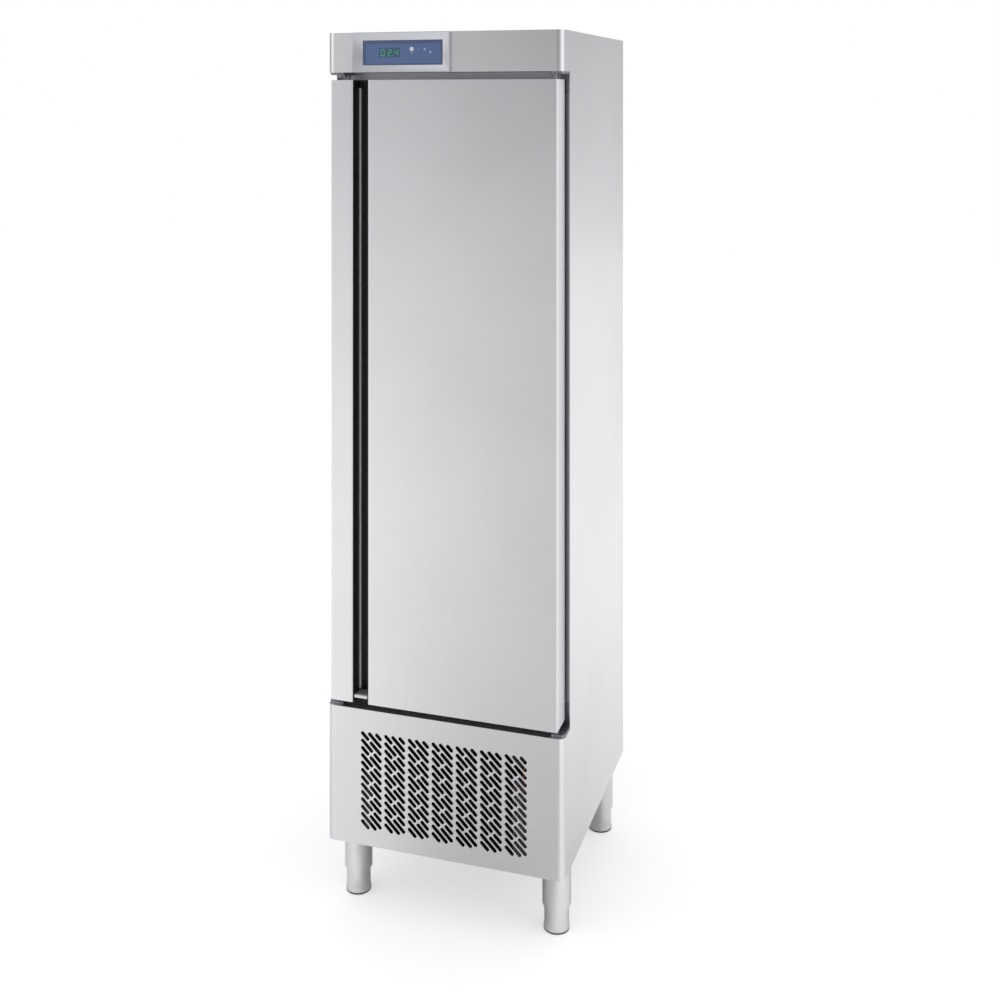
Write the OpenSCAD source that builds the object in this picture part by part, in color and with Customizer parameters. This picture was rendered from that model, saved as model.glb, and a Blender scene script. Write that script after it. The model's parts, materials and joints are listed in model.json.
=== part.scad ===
// Upright refrigerator for a professional kitchen: one solid door with a recessed
// full-height pull, control fascia on top, ventilated machine compartment below, on four
// adjustable legs. Millimetres, +Z up, front faces -Y, origin on the floor at the centre.

/* [Cabinet] */
// Overall width of the cabinet
cabinet_w = 525; // [500:5:600]
// Depth from the fascia's face to the rear panel's face
cabinet_d = 560; // [500:5:700]
// Height from the floor to the top panel
cabinet_h = 1875; // [1700:5:2050]
// Thickness of the stainless sheet
sheet_t = 1; // [0.8:0.1:1.5]
// Outer radius of the two vertical front corners
corner_r = 15; // [10:1:20]
// How far the side panels reach in front of the frame beside the door
side_reach = 18; // [0:1:18]
// Height of the control fascia
fascia_h = 85; // [75:1:120]
// Height of the machine compartment's front panel
machine_h = 288.5; // [260:0.5:340]
// Insulated wall between the side's face and the cavity
wall_side = 45; // [35:1:60]
// Insulated wall behind the cavity
wall_back = 50; // [40:1:70]
// Insulated floor between the machine deck and the cavity
wall_floor = 55.5; // [40:0.5:80]
// Insulated head between the cavity and the fascia's lower edge
wall_head = 45; // [30:1:70]

/* [Door] */
// Thickness of the door leaf
door_t = 62; // [50:1:80]
// How far the door stands proud of the fascia
door_proud = 8; // [4:1:16]
// Gap between the door's side edge and the cabinet's side face
door_side_gap = 12.5; // [8:0.5:20]
// Gap above and below the door
door_end_gap = 16; // [14:0.5:24]
// Width of the stile on the handle side
stile_w = 50; // [40:1:80]
// Width of the handle channel
channel_w = 34; // [28:1:45]
// Depth of the handle channel
channel_d = 38; // [25:1:45]
// Wall of the black channel profile
channel_wall = 2; // [1.5:0.1:3]
// Height of the cap that closes the channel at each end
channel_cap_h = 17; // [12:1:24]
// Height of the lip on the lower cap
cap_lip_h = 7; // [4:0.5:9]
// Distance from the door's front to the lip
cap_lip_recess = 3; // [2:0.5:6]
// Distance from the door's front to the caps behind the lip
cap_recess = 25; // [15:1:30]
// Width of the bright strip in the channel's inner corner
strip_w = 4; // [3:0.5:6]
// Depth of the bright strip
strip_t = 6; // [2:0.5:10]
// Space between the door's back and the front frame, filled by the gasket
gasket_t = 12; // [9:0.5:16]
// Width of the gasket's bulb
gasket_w = 15; // [10:0.5:16]
// Width of the gasket's foot on the door
gasket_foot_w = 8; // [5:0.5:9]
// Thickness of the gasket's foot
gasket_foot_t = 4; // [3:0.5:5]
// Clearance between the gasket and the frame when the door is shut
gasket_clear = 0.3; // [0.2:0.1:0.8]
// Height of the pressed field on the door's inner panel
press_h = 4; // [2:0.5:6]

/* [Hinge] */
// Distance from the door's right edge to the hinge axis
hinge_inset = 13; // [12:0.5:16]
// Diameter of the hinge pins
hinge_pin_d = 10; // [8:0.5:12]
// Radial running clearance of the pins in the door's bushes
hinge_clear = 0.05; // [0.02:0.01:0.1]
// Outer diameter of the door's bushes
bush_d = 18; // [16:0.5:20]
// Depth of the bushes in the door
bush_depth = 20; // [14:1:26]
// Thickness of the hinge plates
plate_t = 5; // [3:0.5:6]
// Width of the hinge plates
plate_w = 34; // [30:1:38]
// Distance from the hinge axis to the plate's front edge
plate_front = 16; // [14:1:20]
// Clearance between the two cams that carry the door
cam_clear = 0.3; // [0.1:0.1:0.5]
// Diameter of the cams
cam_d = 20; // [18:0.5:22]
// Height of the bracket plate that is screwed to the frame
bracket_h = 44; // [30:1:60]

/* [Controls] */
// Width of the control bezel
bezel_w = 221; // [215:1:240]
// Distance of the bezel's centre from the cabinet's centre, to the left
bezel_left = 92.5; // [60:0.5:120]
// How far the bezel stands out from the fascia
bezel_t = 6; // [5.5:0.5:8]
// Width of the bezel's flat rim, inside which its margins slope in to the window
bezel_rim = 2; // [1:0.5:4]
// Width of the blue window
window_w = 180; // [160:1:182]
// Distance of the window's centre from the bezel's centre, to the right
window_right = 3.5; // [0:0.5:5]
// Height of the blue window
window_h = 52; // [40:1:54]
// Distance of the window's centre below the fascia's centre
window_low = 1; // [0:0.5:3]
// Thickness of the blue window
window_t = 3; // [2:0.5:4]
// How far the window lies below the bezel's rim
window_sink = 4.5; // [2:0.5:5]
// Diameter of the round keys
key_d = 9; // [6:0.5:12]
// Radial clearance round the keys
key_clear = 0.2; // [0.1:0.05:0.4]
// Travel of the keys
key_travel = 0.8; // [0.4:0.1:1.2]
// Depth of the controller behind the window
controller_d = 46; // [35:1:60]

/* [Grille] */
// Number of columns in the front grille
grille_columns = 7; // [5:1:7]
// Width of one column
column_w = 48; // [38:1:50]
// Distance between the columns
column_gap = 5.4; // [5:0.1:9]
// Height of the grille
grille_h = 207; // [160:1:230]
// Height of the grille's lower edge above the panel's lower edge
grille_low = 35; // [25:0.5:50]
// Width of the slots
slot_w = 8; // [4:0.1:8.5]
// Vertical step of the slots
slot_step = 15.6; // [14:0.1:22]
// Slope of the slots below the horizontal
slot_angle = 44; // [35:1:52]
// Length of the bridge that breaks each slot
slot_bridge = 3.4; // [2:0.1:6]

/* [Legs] */
// Height of the cabinet's lower edge above the floor
leg_h = 146; // [120:1:180]
// Outer diameter of the leg tubes
leg_d = 60; // [54:1:66]
// Wall of the leg tubes
leg_wall = 3; // [2:0.5:3]
// Diameter of the adjustable feet
foot_d = 52; // [40:1:53]
// Visible height of the feet below the tubes
foot_h = 52; // [40:1:60]
// Diameter of the pad ring under each foot
foot_pad_d = 55; // [52:1:58]
// Height of the pad ring
foot_pad_h = 7; // [4:0.5:10]
// Diameter of the foot's threaded stem
stem_d = 16; // [12:1:20]
// Radial running clearance of the stem in the leg's insert
stem_clear = 0.05; // [0.02:0.01:0.1]
// Distance of the legs' centres from the cabinet's sides
leg_side = 37.5; // [35:0.5:60]
// Distance of the front legs' centres from the fascia's face
leg_front = 81.5; // [50:0.5:110]
// Distance of the rear legs' centres from the rear face
leg_rear = 83.5; // [50:0.5:110]

/* [Interior] */
// Distance between the shelves
shelf_step = 280; // [240:5:300]
// Height of the lowest shelf above the cavity's floor
shelf_first = 210; // [120:5:260]
// Diameter of the shelf's frame rods
shelf_frame_d = 6; // [5:0.5:8]
// Diameter of the shelf's wires
shelf_wire_d = 3; // [2:0.5:4]
// Distance between the shelf's wires
shelf_wire_step = 28; // [20:1:40]
// Travel of a shelf towards the closed door
shelf_travel = 40; // [20:1:40]
// Space left between a shelf that is pulled forward and the closed door
shelf_stop = 8; // [5:1:20]
// Clearance under and beside the shelves
shelf_clear = 0.3; // [0.2:0.1:1]
// Depth of the uprights from the side wall
upright_t = 12; // [8:1:16]
// Width of the uprights
upright_w = 20; // [16:1:30]
// Width of the runners' ledge
runner_w = 18; // [12:1:24]
// Thickness of the runners' sheet
runner_t = 1.5; // [1:0.1:2]
// Height of the space that the cooler unit takes under the cavity's ceiling
cooler_h = 122; // [115:1:150]
// Distance from the front frame to the cooler's front
cooler_front = 150; // [120:5:200]
// Diameter of the cooler's fan opening
cooler_hole_d = 96; // [80:1:98]

/* [Machine] */
// Thickness of the base pan
base_t = 2; // [1.5:0.1:3]
// How far the rear grille lies inside the rear face
rear_recess = 14; // [12:1:30]
// Diameter of the compressor's shell
compressor_d = 150; // [130:1:165]
// Height of the compressor's shell
compressor_h = 165; // [140:1:175]
// Height of the rubber mounts
rubber_h = 14; // [10:1:18]
// Width of the condenser
condenser_w = 300; // [240:5:320]
// Height of the condenser
condenser_h = 230; // [200:5:240]
// Thickness of the condenser
condenser_t = 44; // [30:1:50]
// Diameter of the condenser fan
fan_d = 172; // [150:1:174]
// Clearance round the fan blades
fan_clear = 6; // [4:0.5:10]
// Diameter of the fan motors
motor_d = 62; // [50:1:66]
// Diameter of the suction pipe
pipe_d = 10; // [8:0.5:12]
// Bend radius of the suction pipe
pipe_bend_r = 14; // [12:1:16]
// Diameter of the discharge pipe
discharge_d = 6; // [5:0.5:8]
// Bend radius of the discharge pipe
discharge_bend_r = 9; // [8:0.5:10]
// Diameter of the filter drier
drier_d = 20; // [16:1:24]
// Length of the filter drier
drier_len = 80; // [60:5:100]
// Diameter of the mains cable that the gland takes
gland_bore_d = 9; // [7:0.5:10]

/* [Hidden] */
$fn = 48;

// Cabinet planes and levels
half_w = cabinet_w / 2;
inner_w = cabinet_w - 2 * sheet_t;
rear_y = (cabinet_d + door_proud) / 2;
door_y = -rear_y;
fascia_y = door_y + door_proud;
frame_y = door_y + door_t + gasket_t;
side_edge_y = frame_y - side_reach;
deck_z = leg_h + machine_h;
fascia_z = cabinet_h - fascia_h;
cavity_half = half_w - wall_side;
cavity_low = deck_z + wall_floor;
cavity_high = fascia_z - wall_head;
cavity_front = frame_y + sheet_t;
cavity_rear = rear_y - wall_back;
base_top = leg_h + base_t;
grille_rear_y = rear_y - rear_recess - sheet_t;
eps = 0.01;

// Door
door_half = half_w - door_side_gap;
door_low = deck_z + door_end_gap;
door_high = fascia_z - door_end_gap;
door_back = door_y + door_t;
channel_x = -door_half + stile_w;
hinge_x = door_half - hinge_inset;
hinge_y = door_y + door_t / 2;
pin_r = hinge_pin_d / 2;
gasket_half = hinge_x - 1;
gasket_low = cavity_low - gasket_w - 2;
gasket_high = cavity_high + gasket_w + 2;
plate_x = half_w - plate_w;
cam_h = (door_end_gap - plate_t - cam_clear) / 2;

// Controls
bezel_x = -bezel_left;
window_x = bezel_x + window_right;
window_x0 = window_x - window_w / 2;
window_x1 = window_x + window_w / 2;
control_z = fascia_z + fascia_h / 2;
window_z0 = control_z - window_low - window_h / 2;
window_z1 = window_z0 + window_h;
window_y = fascia_y - bezel_t + window_sink;
window_back = window_y + window_t;
key_y = window_y - 0.4;
key_len = window_t + 3.4;
keys = [[21, 6, "white"], [50.5, 5.5, "lightblue"], [63.5, -1, "lightblue"]];

// Grille
grille_w = grille_columns * column_w + (grille_columns - 1) * column_gap;
bridge_near = 0.39;
bridge_far = 0.61;
line_len = (column_w - slot_w) / cos(slot_angle);
half_bridge = (slot_bridge + slot_w) / 2;
short_fall = (bridge_near * line_len - half_bridge) * sin(slot_angle);
slot_rows = floor((grille_h - slot_w - short_fall) / slot_step) + 1;

// Legs
leg_x = half_w - leg_side;
leg_front_y = fascia_y + leg_front;
leg_rear_y = rear_y - leg_rear;
insert_h = 50;
insert_z = leg_h - insert_h;
insert_t = 10;
stem_top = leg_h - 18;
cap_t = 4;
stud_d = 12;
stud_h = 16;
stud_clear = 0.2;
foot_inside = 28;

// Interior
coil_side = 67.5;
coil_low = 14;
coil_clear = 0.3;
evaporator_fins = 22;
fin_t = 1;
tube_d = 9;
tube_out = 8;
upright_low = 60;
upright_top = 30;
upright_step = 90;
upright_in = cavity_half - upright_t;
shelf_half = upright_in - runner_t - shelf_clear;
shelf_y0 = door_back + press_h + shelf_travel + shelf_stop;
shelf_y1 = cavity_rear - 8;
upright_y = [shelf_y0 + 25, shelf_y1 - 25];
shelf_levels = [for (i = [0:2]) cavity_low + shelf_first + i * shelf_step];
cooler_z = cavity_high - cooler_h;
cooler_y = frame_y + cooler_front;
cooler_half = cavity_half - 0.5;
cooler_fan_z = cavity_high - cooler_h / 2;
cooler_blade_y = cooler_y + sheet_t + 10;
cooler_blade_t = 14;
cooler_motor_gap = 6;
cooler_motor_len = 40;
cover_slot_step = 20;
cover_slot_w = 8;
cover_slot_side = 50;
cover_slots = floor((cooler_half - cover_slot_side) / cover_slot_step);
coil_front = 95;
coil_back = 30;
coil_y0 = cooler_y + coil_front;
coil_y1 = cavity_rear - coil_back;
coil_half = cavity_half - coil_side;
shaft_d = 6;
shaft_clear = 0.05;

// Machine compartment
condenser_y0 = fascia_y + 25;
condenser_y1 = condenser_y0 + condenser_t;
condenser_x = -20;
condenser_fins = 26;
condenser_z = base_top + 12;
condenser_fan_z = condenser_z + condenser_h / 2;
shroud_y = condenser_y1 + 1;
shroud_t = 18;
blade_y = shroud_y + 4;
blade_t = 16;
motor_gap = 3;
condenser_motor_y = blade_y + blade_t + motor_gap;
condenser_motor_len = 62;
compressor_side = 142.5;
compressor_x = half_w - compressor_side;
compressor_y = rear_y - rear_recess - compressor_d / 2 - 30;
compressor_z = base_top + rubber_h;
tray_side = 47.5;
tray_x = -half_w + tray_side;
tray_y = -30;
tray_size = [150, 130, 26];
box_size = [130, 90, 120];
box_side = 62.5;
box_x = -half_w + box_side;
box_y = grille_rear_y - box_size[1] - 6;
chase_side = 32.5;
chase_x = cavity_half - chase_side;
chase_y = cavity_rear + wall_back / 2 - 2;
chase_d = 34;
discharge_back = 70;
gland_side = 50;
gland_up = 40;
gland_x = box_x + gland_side;
gland_z = base_top + gland_up;
gland_d = 20;
gland_clear = 0.2;
drain_x = tray_x + tray_size[0] / 2;
drain_in = 60;
drain_y = tray_y + drain_in;
rear_slot_rows = 9;
rear_slot_columns = 3;
rear_slot_gap = 25;
rear_slot_h = 8;
rear_slots_side = 56.5;
rear_slots_low = 80;
rear_slots_top = 30;
drain_d = 16;

steel = "gainsboro";

// Plan of the space inside the cabinet's skin, with the rounded front corners
module plan_inside(y_rear) {
    r = corner_r - sheet_t;
    x = half_w - sheet_t;
    y = fascia_y + sheet_t;
    translate([-x, y + r]) square([2 * x, y_rear - y - r]);
    translate([-x + r, y]) square([2 * (x - r), r + eps]);
    for (s = [-1, 1]) translate([s * (x - r), y + r]) circle(r);
}

// Box given by its low and high corners
module block(low, high) {
    translate(low) cube(high - low);
}

// Right-hand side panel: a sheet with a folded, rounded front corner above and below the
// door, and cut back beside it, so that the open door's edge passes in front
module side_panel() {
    block([half_w - sheet_t, side_edge_y, leg_h], [half_w, rear_y, cabinet_h]);
    for (span = [[leg_h, deck_z], [fascia_z, cabinet_h]]) {
        block([half_w - sheet_t, fascia_y + corner_r, span[0]], [half_w, side_edge_y + eps, span[1]]);
        translate([half_w - corner_r, fascia_y + corner_r, span[0]])
            rotate([0, 0, -90])
                rotate_extrude(angle = 90)
                    translate([corner_r - sheet_t, 0])
                        square([sheet_t, span[1] - span[0]]);
    }
}

module side_panel_right() { color(steel) side_panel(); }

module side_panel_left() { color(steel) mirror([1, 0, 0]) side_panel(); }

module top_panel() {
    color(steel)
        translate([0, 0, cabinet_h - sheet_t])
            linear_extrude(sheet_t) plan_inside(rear_y - sheet_t);
}

module rear_panel() {
    color(steel)
        block([-inner_w / 2, rear_y - sheet_t, deck_z - sheet_t], [inner_w / 2, rear_y, cabinet_h]);
}

// Stainless frame round the cavity's mouth, which the gasket closes on
module front_frame() {
    color(steel)
        difference() {
            block([-inner_w / 2, frame_y, deck_z], [inner_w / 2, cavity_front, fascia_z]);
            block([-cavity_half, frame_y - 1, cavity_low], [cavity_half, cavity_front + 1, cavity_high]);
        }
}

// Fascia sheet with the controller's cut-out and its folded underside
module fascia() {
    flat = half_w - corner_r;
    color(steel)
        difference() {
            union() {
                block([-flat, fascia_y, fascia_z], [flat, fascia_y + sheet_t, cabinet_h]);
                translate([0, 0, fascia_z]) linear_extrude(sheet_t) plan_inside(frame_y);
                block([-flat, fascia_y + sheet_t - eps, fascia_z], [flat, fascia_y + corner_r,
                    fascia_z + sheet_t]);
            }
            block([window_x0, fascia_y - 1, window_z0],
                [window_x1, fascia_y + 2 * sheet_t, window_z1]);
        }
}

// Outline of the bezel's dish: straight at the rim, and sloping in to the window's two edges
module dish(low, high, edge0, edge1) {
    sill = window_y - fascia_y;
    polygon([[low, -bezel_t - 1], [low, -bezel_t], [edge0, sill],
        [edge1, sill], [high, -bezel_t], [high, -bezel_t - 1]]);
}

// Plastic bezel whose margins slope in from its rim to the window, with the window's opening
module control_bezel() {
    half = bezel_w / 2;
    color("lightgray")
        difference() {
            translate([bezel_x, fascia_y, fascia_z])
                difference() {
                    block([-half, -bezel_t, 0], [half, 0, fascia_h]);
                    intersection() {
                        linear_extrude(fascia_h)
                            dish(bezel_rim - half, half - bezel_rim,
                                window_x0 - bezel_x, window_x1 - bezel_x);
                        translate([-half, 0, 0])
                            rotate([90, 0, 90])
                                linear_extrude(bezel_w)
                                    mirror([1, -1])
                                        dish(bezel_rim, fascia_h - bezel_rim,
                                            window_z0 - fascia_z, window_z1 - fascia_z);
                    }
                }
            block([window_x0, fascia_y - bezel_t - 1, window_z0], [window_x1, fascia_y + 1, window_z1]);
        }
}

module key_holes(d, y0, y1) {
    for (k = keys)
        translate([window_x + k[0], y0, control_z + k[1]])
            rotate([-90, 0, 0]) cylinder(d = d, h = y1 - y0);
}

module control_window() {
    color("steelblue")
        difference() {
            block([window_x0, window_y, window_z0], [window_x1, window_back, window_z1]);
            key_holes(key_d + 2 * key_clear, window_y - 1, window_back + 1);
        }
}

// Controller behind the window, with a pocket for each key
module controller_case() {
    pocket = key_len - window_t + key_travel;
    color("dimgray")
        difference() {
            block([window_x0, window_back, window_z0],
                [window_x1, window_back + controller_d, window_z1]);
            key_holes(key_d + 2 * key_clear, window_back - 1, window_back + pocket);
        }
}

// Round key that travels into the controller
module key(i) {
    color(keys[i][2])
        translate([window_x + keys[i][0], key_y, control_z + keys[i][1]])
            rotate([-90, 0, 0]) cylinder(d = key_d, h = key_len);
}

module key_power() { key(0); }

module key_up() { key(1); }

module key_down() { key(2); }

// Sheet between the machine compartment and the insulated box
module machine_deck() {
    color(steel)
        difference() {
            translate([0, 0, deck_z - sheet_t])
                linear_extrude(sheet_t) plan_inside(rear_y - sheet_t);
            translate([chase_x, chase_y, deck_z - 5]) cylinder(d = chase_d, h = 10);
            translate([drain_x, drain_y, deck_z - 5]) cylinder(d = drain_d + 1, h = 10);
        }
}

// One straight run of a slot, with round ends, between two distances along its line
module slot_run(start, end) {
    translate([start, -slot_w / 2]) square([end - start, slot_w]);
    translate([start, 0]) circle(d = slot_w, $fn = 24);
    translate([end, 0]) circle(d = slot_w, $fn = 24);
}

// One sloped line of a column, from its left edge at height z down to the right. A whole line is
// broken by a bridge into two slots, and one that leaves the column's height is a shorter slot
module sloped_line(z, bridge_at) {
    r = slot_w / 2;
    start = max(0, (z - grille_h + r) / sin(slot_angle));
    end = min(line_len, (z - r) / sin(slot_angle));
    translate([r, z])
        rotate([0, 0, -slot_angle])
            if (start == 0 && end == line_len) {
                slot_run(0, bridge_at * line_len - half_bridge);
                slot_run(bridge_at * line_len + half_bridge, line_len);
            } else
                slot_run(start, end);
}

module grille_column() {
    top = grille_h - slot_w / 2;
    above = floor(line_len * sin(slot_angle) / slot_step);
    for (i = [-above:slot_rows - 1])
        sloped_line(top - i * slot_step, i % 2 == 0 ? bridge_near : bridge_far);
}

// Ventilated panel in front of the machine compartment
module lower_front_panel() {
    flat = half_w - corner_r;
    color(steel)
        translate([0, fascia_y + sheet_t, leg_h])
            rotate([90, 0, 0])
                linear_extrude(sheet_t)
                    difference() {
                        translate([-flat, 0]) square([2 * flat, machine_h]);
                        for (c = [0:grille_columns - 1])
                            translate([-grille_w / 2 + c * (column_w + column_gap), grille_low])
                                grille_column();
                    }
}

// Slotted sheet behind the machine compartment
module rear_grille() {
    low = base_top;
    high = deck_z - sheet_t;
    pitch = (high - low - rear_slots_low - rear_slots_top) / rear_slot_rows;
    slot_len = (inner_w - 2 * rear_slots_side - (rear_slot_columns - 1) * rear_slot_gap)
        / rear_slot_columns;
    color(steel)
        difference() {
            block([-inner_w / 2, grille_rear_y, low], [inner_w / 2, grille_rear_y + sheet_t, high]);
            for (i = [0:rear_slot_rows - 1])
                for (c = [0:rear_slot_columns - 1])
                    translate([-inner_w / 2 + rear_slots_side + c * (slot_len + rear_slot_gap),
                        grille_rear_y - 1, low + rear_slots_low + i * pitch])
                        cube([slot_len, sheet_t + 2, rear_slot_h]);
            translate([gland_x, grille_rear_y - 1, gland_z])
                rotate([-90, 0, 0]) cylinder(d = gland_d + 2 * gland_clear, h = sheet_t + 2);
        }
}

module leg_places() {
    for (x = [-leg_x, leg_x])
        for (y = [leg_front_y, leg_rear_y])
            translate([x, y, 0]) children();
}

// Base pan with a threaded boss over each leg
module base_pan() {
    color("silver")
        difference() {
            union() {
                translate([0, 0, leg_h]) linear_extrude(base_t) plan_inside(rear_y - sheet_t);
                leg_places() translate([0, 0, base_top - eps])
                    cylinder(d = 28, h = stud_h - base_t, $fn = 6);
            }
            leg_places() translate([0, 0, leg_h - 1])
                cylinder(d = stud_d + 2 * stud_clear, h = stud_h + 10);
        }
}

module liner_outside() {
    block([-cavity_half - sheet_t, cavity_front - 1, cavity_low - sheet_t],
        [cavity_half + sheet_t, cavity_rear + sheet_t, cavity_high + sheet_t]);
}

// Passage for the pipes: down behind the cavity and out to the cooler
module pipe_passage() {
    translate([chase_x, chase_y, deck_z - 1])
        cylinder(d = chase_d, h = cooler_fan_z - deck_z + chase_d / 2);
    translate([chase_x, cavity_rear - 5, cooler_fan_z])
        rotate([-90, 0, 0]) cylinder(d = chase_d, h = chase_y - cavity_rear + 5);
}

// Foamed insulation between the outer skin and the liner
module insulation_foam() {
    x = inner_w / 2;
    color("khaki")
        difference() {
            block([-x, cavity_front, deck_z], [x, rear_y - sheet_t, cabinet_h - sheet_t]);
            liner_outside();
            pipe_passage();
            translate([drain_x, drain_y, deck_z - 1])
                cylinder(d = drain_d + 1, h = wall_floor + 2);
        }
}

module liner_side() {
    block([cavity_half, cavity_front, cavity_low - sheet_t],
        [cavity_half + sheet_t, cavity_rear + sheet_t, cavity_high + sheet_t]);
}

module liner_right() { color(steel) liner_side(); }

module liner_left() { color(steel) mirror([1, 0, 0]) liner_side(); }

module liner_back() {
    color(steel)
        difference() {
            block([-cavity_half, cavity_rear, cavity_low],
                [cavity_half, cavity_rear + sheet_t, cavity_high]);
            pipe_passage();
        }
}

module liner_top() {
    color(steel)
        block([-cavity_half, cavity_front, cavity_high],
            [cavity_half, cavity_rear + sheet_t, cavity_high + sheet_t]);
}

// Cavity floor with its drain spout, which drops into the tray
module liner_floor() {
    spout = 30;
    color(steel)
        difference() {
            union() {
                block([-cavity_half, cavity_front, cavity_low - sheet_t],
                    [cavity_half, cavity_rear + sheet_t, cavity_low]);
                translate([drain_x, drain_y, deck_z - spout])
                    cylinder(d = drain_d, h = cavity_low - sheet_t / 2 - deck_z + spout);
            }
            translate([drain_x, drain_y, deck_z - spout - 1])
                cylinder(d = drain_d - 2 * sheet_t, h = wall_floor + spout + 2);
        }
}

// Leg: tube, closing disc with its stud, and the threaded insert for the foot
module leg(x, y) {
    color("silver")
        translate([x, y, 0])
            difference() {
                union() {
                    difference() {
                        translate([0, 0, foot_h]) cylinder(d = leg_d, h = leg_h - foot_h);
                        translate([0, 0, foot_h - 1])
                            cylinder(d = leg_d - 2 * leg_wall, h = leg_h - foot_h - cap_t + 1);
                    }
                    translate([0, 0, insert_z]) cylinder(d = leg_d - leg_wall, h = insert_t);
                    translate([0, 0, leg_h - eps]) cylinder(d = stud_d, h = stud_h);
                }
                translate([0, 0, insert_z - 1])
                    cylinder(d = stem_d + 2 * stem_clear, h = insert_t + 2);
            }
}

module leg_front_left() { leg(-leg_x, leg_front_y); }

module leg_front_right() { leg(leg_x, leg_front_y); }

module leg_rear_left() { leg(-leg_x, leg_rear_y); }

module leg_rear_right() { leg(leg_x, leg_rear_y); }

// Adjustable foot: pad ring, barrel that enters the tube, and threaded stem
module foot(x, y) {
    color("silver")
        translate([x, y, 0]) {
            cylinder(d = foot_pad_d, h = foot_pad_h);
            translate([0, 0, foot_pad_h - eps])
                cylinder(d = foot_d, h = foot_h + foot_inside - foot_pad_h);
            translate([0, 0, foot_h]) cylinder(d = stem_d, h = stem_top - foot_h);
        }
}

module foot_front_left() { foot(-leg_x, leg_front_y); }

module foot_front_right() { foot(leg_x, leg_front_y); }

module foot_rear_left() { foot(-leg_x, leg_rear_y); }

module foot_rear_right() { foot(leg_x, leg_rear_y); }

// Four slotted uprights on the cavity's side walls
module rack_uprights() {
    low = cavity_low + upright_low;
    high = cooler_z - upright_top;
    color(steel)
        for (s = [0, 1]) mirror([s, 0, 0])
            for (y = upright_y)
                difference() {
                    block([upright_in, y - upright_w / 2, low], [cavity_half, y + upright_w / 2, high]);
                    for (z = [low + 40:upright_step:high - 20])
                        block([upright_in - 1, y - 3, z], [upright_in + 3, y + 3, z + 14]);
                }
}

// Ledges that carry the shelves, two at each level
module shelf_runners() {
    top = -shelf_frame_d / 2 - shelf_clear;
    color(steel)
        for (s = [0, 1]) mirror([s, 0, 0])
            for (z = shelf_levels) {
                block([upright_in - runner_w, shelf_y0, z + top - runner_t],
                    [upright_in, shelf_y1, z + top]);
                block([upright_in - runner_t, shelf_y0, z + top - eps],
                    [upright_in, shelf_y1, z + 14]);
            }
}

module rod_y(x, y0, y1, z, d) {
    translate([x, y0, z]) rotate([-90, 0, 0]) cylinder(d = d, h = y1 - y0, $fn = 24);
}

module rod_x(x0, x1, y, z, d) {
    translate([x0, y, z]) rotate([0, 90, 0]) cylinder(d = d, h = x1 - x0, $fn = 24);
}

// Wire shelf: two side rods, two end rods and a middle rod under a row of wires
module shelf(z) {
    r = shelf_frame_d / 2;
    half = shelf_half - r;
    wires = floor((2 * half - 10) / shelf_wire_step);
    side = (2 * half - wires * shelf_wire_step) / 2;
    wire_z = z + r + shelf_wire_d / 2 - 1;
    color("silver") {
        for (s = [-1, 1])
            rod_y(s * half, shelf_y0, shelf_y1, z, shelf_frame_d);
        for (y = [shelf_y0 + r, (shelf_y0 + shelf_y1) / 2, shelf_y1 - r])
            rod_x(-half, half, y, z, shelf_frame_d);
        for (i = [0:wires])
            rod_y(-half + side + i * shelf_wire_step, shelf_y0 + 1, shelf_y1 - 1, wire_z,
                shelf_wire_d);
    }
}

module shelf_bottom() { shelf(shelf_levels[0]); }

module shelf_middle() { shelf(shelf_levels[1]); }

module shelf_top() { shelf(shelf_levels[2]); }

// Fins and tubes of a heat exchanger in a box that stands along X
module finned_block(x, low, high, fins, rows) {
    pitch = (high[0] - low[0] - fin_t) / (fins - 1);
    for (i = [0:fins - 1])
        block([x + low[0] + i * pitch, low[1], low[2]],
            [x + low[0] + i * pitch + fin_t, high[1], high[2]]);
    for (i = [0:rows - 1])
        for (y = [0.3, 0.7])
            translate([x + low[0] - tube_out, low[1] + y * (high[1] - low[1]),
                low[2] + (i + 0.5) * (high[2] - low[2]) / rows])
                rotate([0, 90, 0]) cylinder(d = tube_d, h = high[0] - low[0] + 2 * tube_out, $fn = 20);
}

module evaporator_coil() {
    color("silver")
        finned_block(0, [-coil_half, coil_y0, cooler_z + coil_low],
            [coil_half, coil_y1, cavity_high - coil_clear], evaporator_fins, 3);
}

// Folded cover of the cooler: front with the fan's opening, floor with return slots
module evaporator_cover() {
    color(steel)
        difference() {
            union() {
                block([-cooler_half, cooler_y, cooler_z],
                    [cooler_half, cooler_y + sheet_t, cavity_high - coil_clear]);
                block([-cooler_half, cooler_y, cooler_z],
                    [cooler_half, cavity_rear - coil_clear, cooler_z + sheet_t]);
            }
            translate([0, cooler_y - 1, cooler_fan_z])
                rotate([-90, 0, 0]) cylinder(d = cooler_hole_d, h = sheet_t + 2);
            for (i = [-cover_slots:cover_slots])
                translate([i * cover_slot_step - cover_slot_w / 2, coil_y0, cooler_z - 1])
                    cube([cover_slot_w, coil_y1 - coil_y0, sheet_t + 2]);
        }
}

// Fan motor along Y with a shaft towards the front and a three-legged guard ring
module fan_motor(y_front, y_mount, length, ring_d, shaft_len) {
    rotate([-90, 0, 0]) {
        translate([0, 0, y_front]) cylinder(d = motor_d, h = length);
        translate([0, 0, y_front - shaft_len]) cylinder(d = shaft_d, h = shaft_len + 1);
        for (a = [0:120:240]) rotate([0, 0, a + 90]) {
            translate([motor_d / 2 - 3, -4, y_front + 5]) cube([ring_d / 2 - motor_d / 2 + 9, 8, 3]);
            translate([ring_d / 2, -4, y_mount]) cube([6, 8, y_front + 8 - y_mount]);
        }
    }
}

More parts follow.
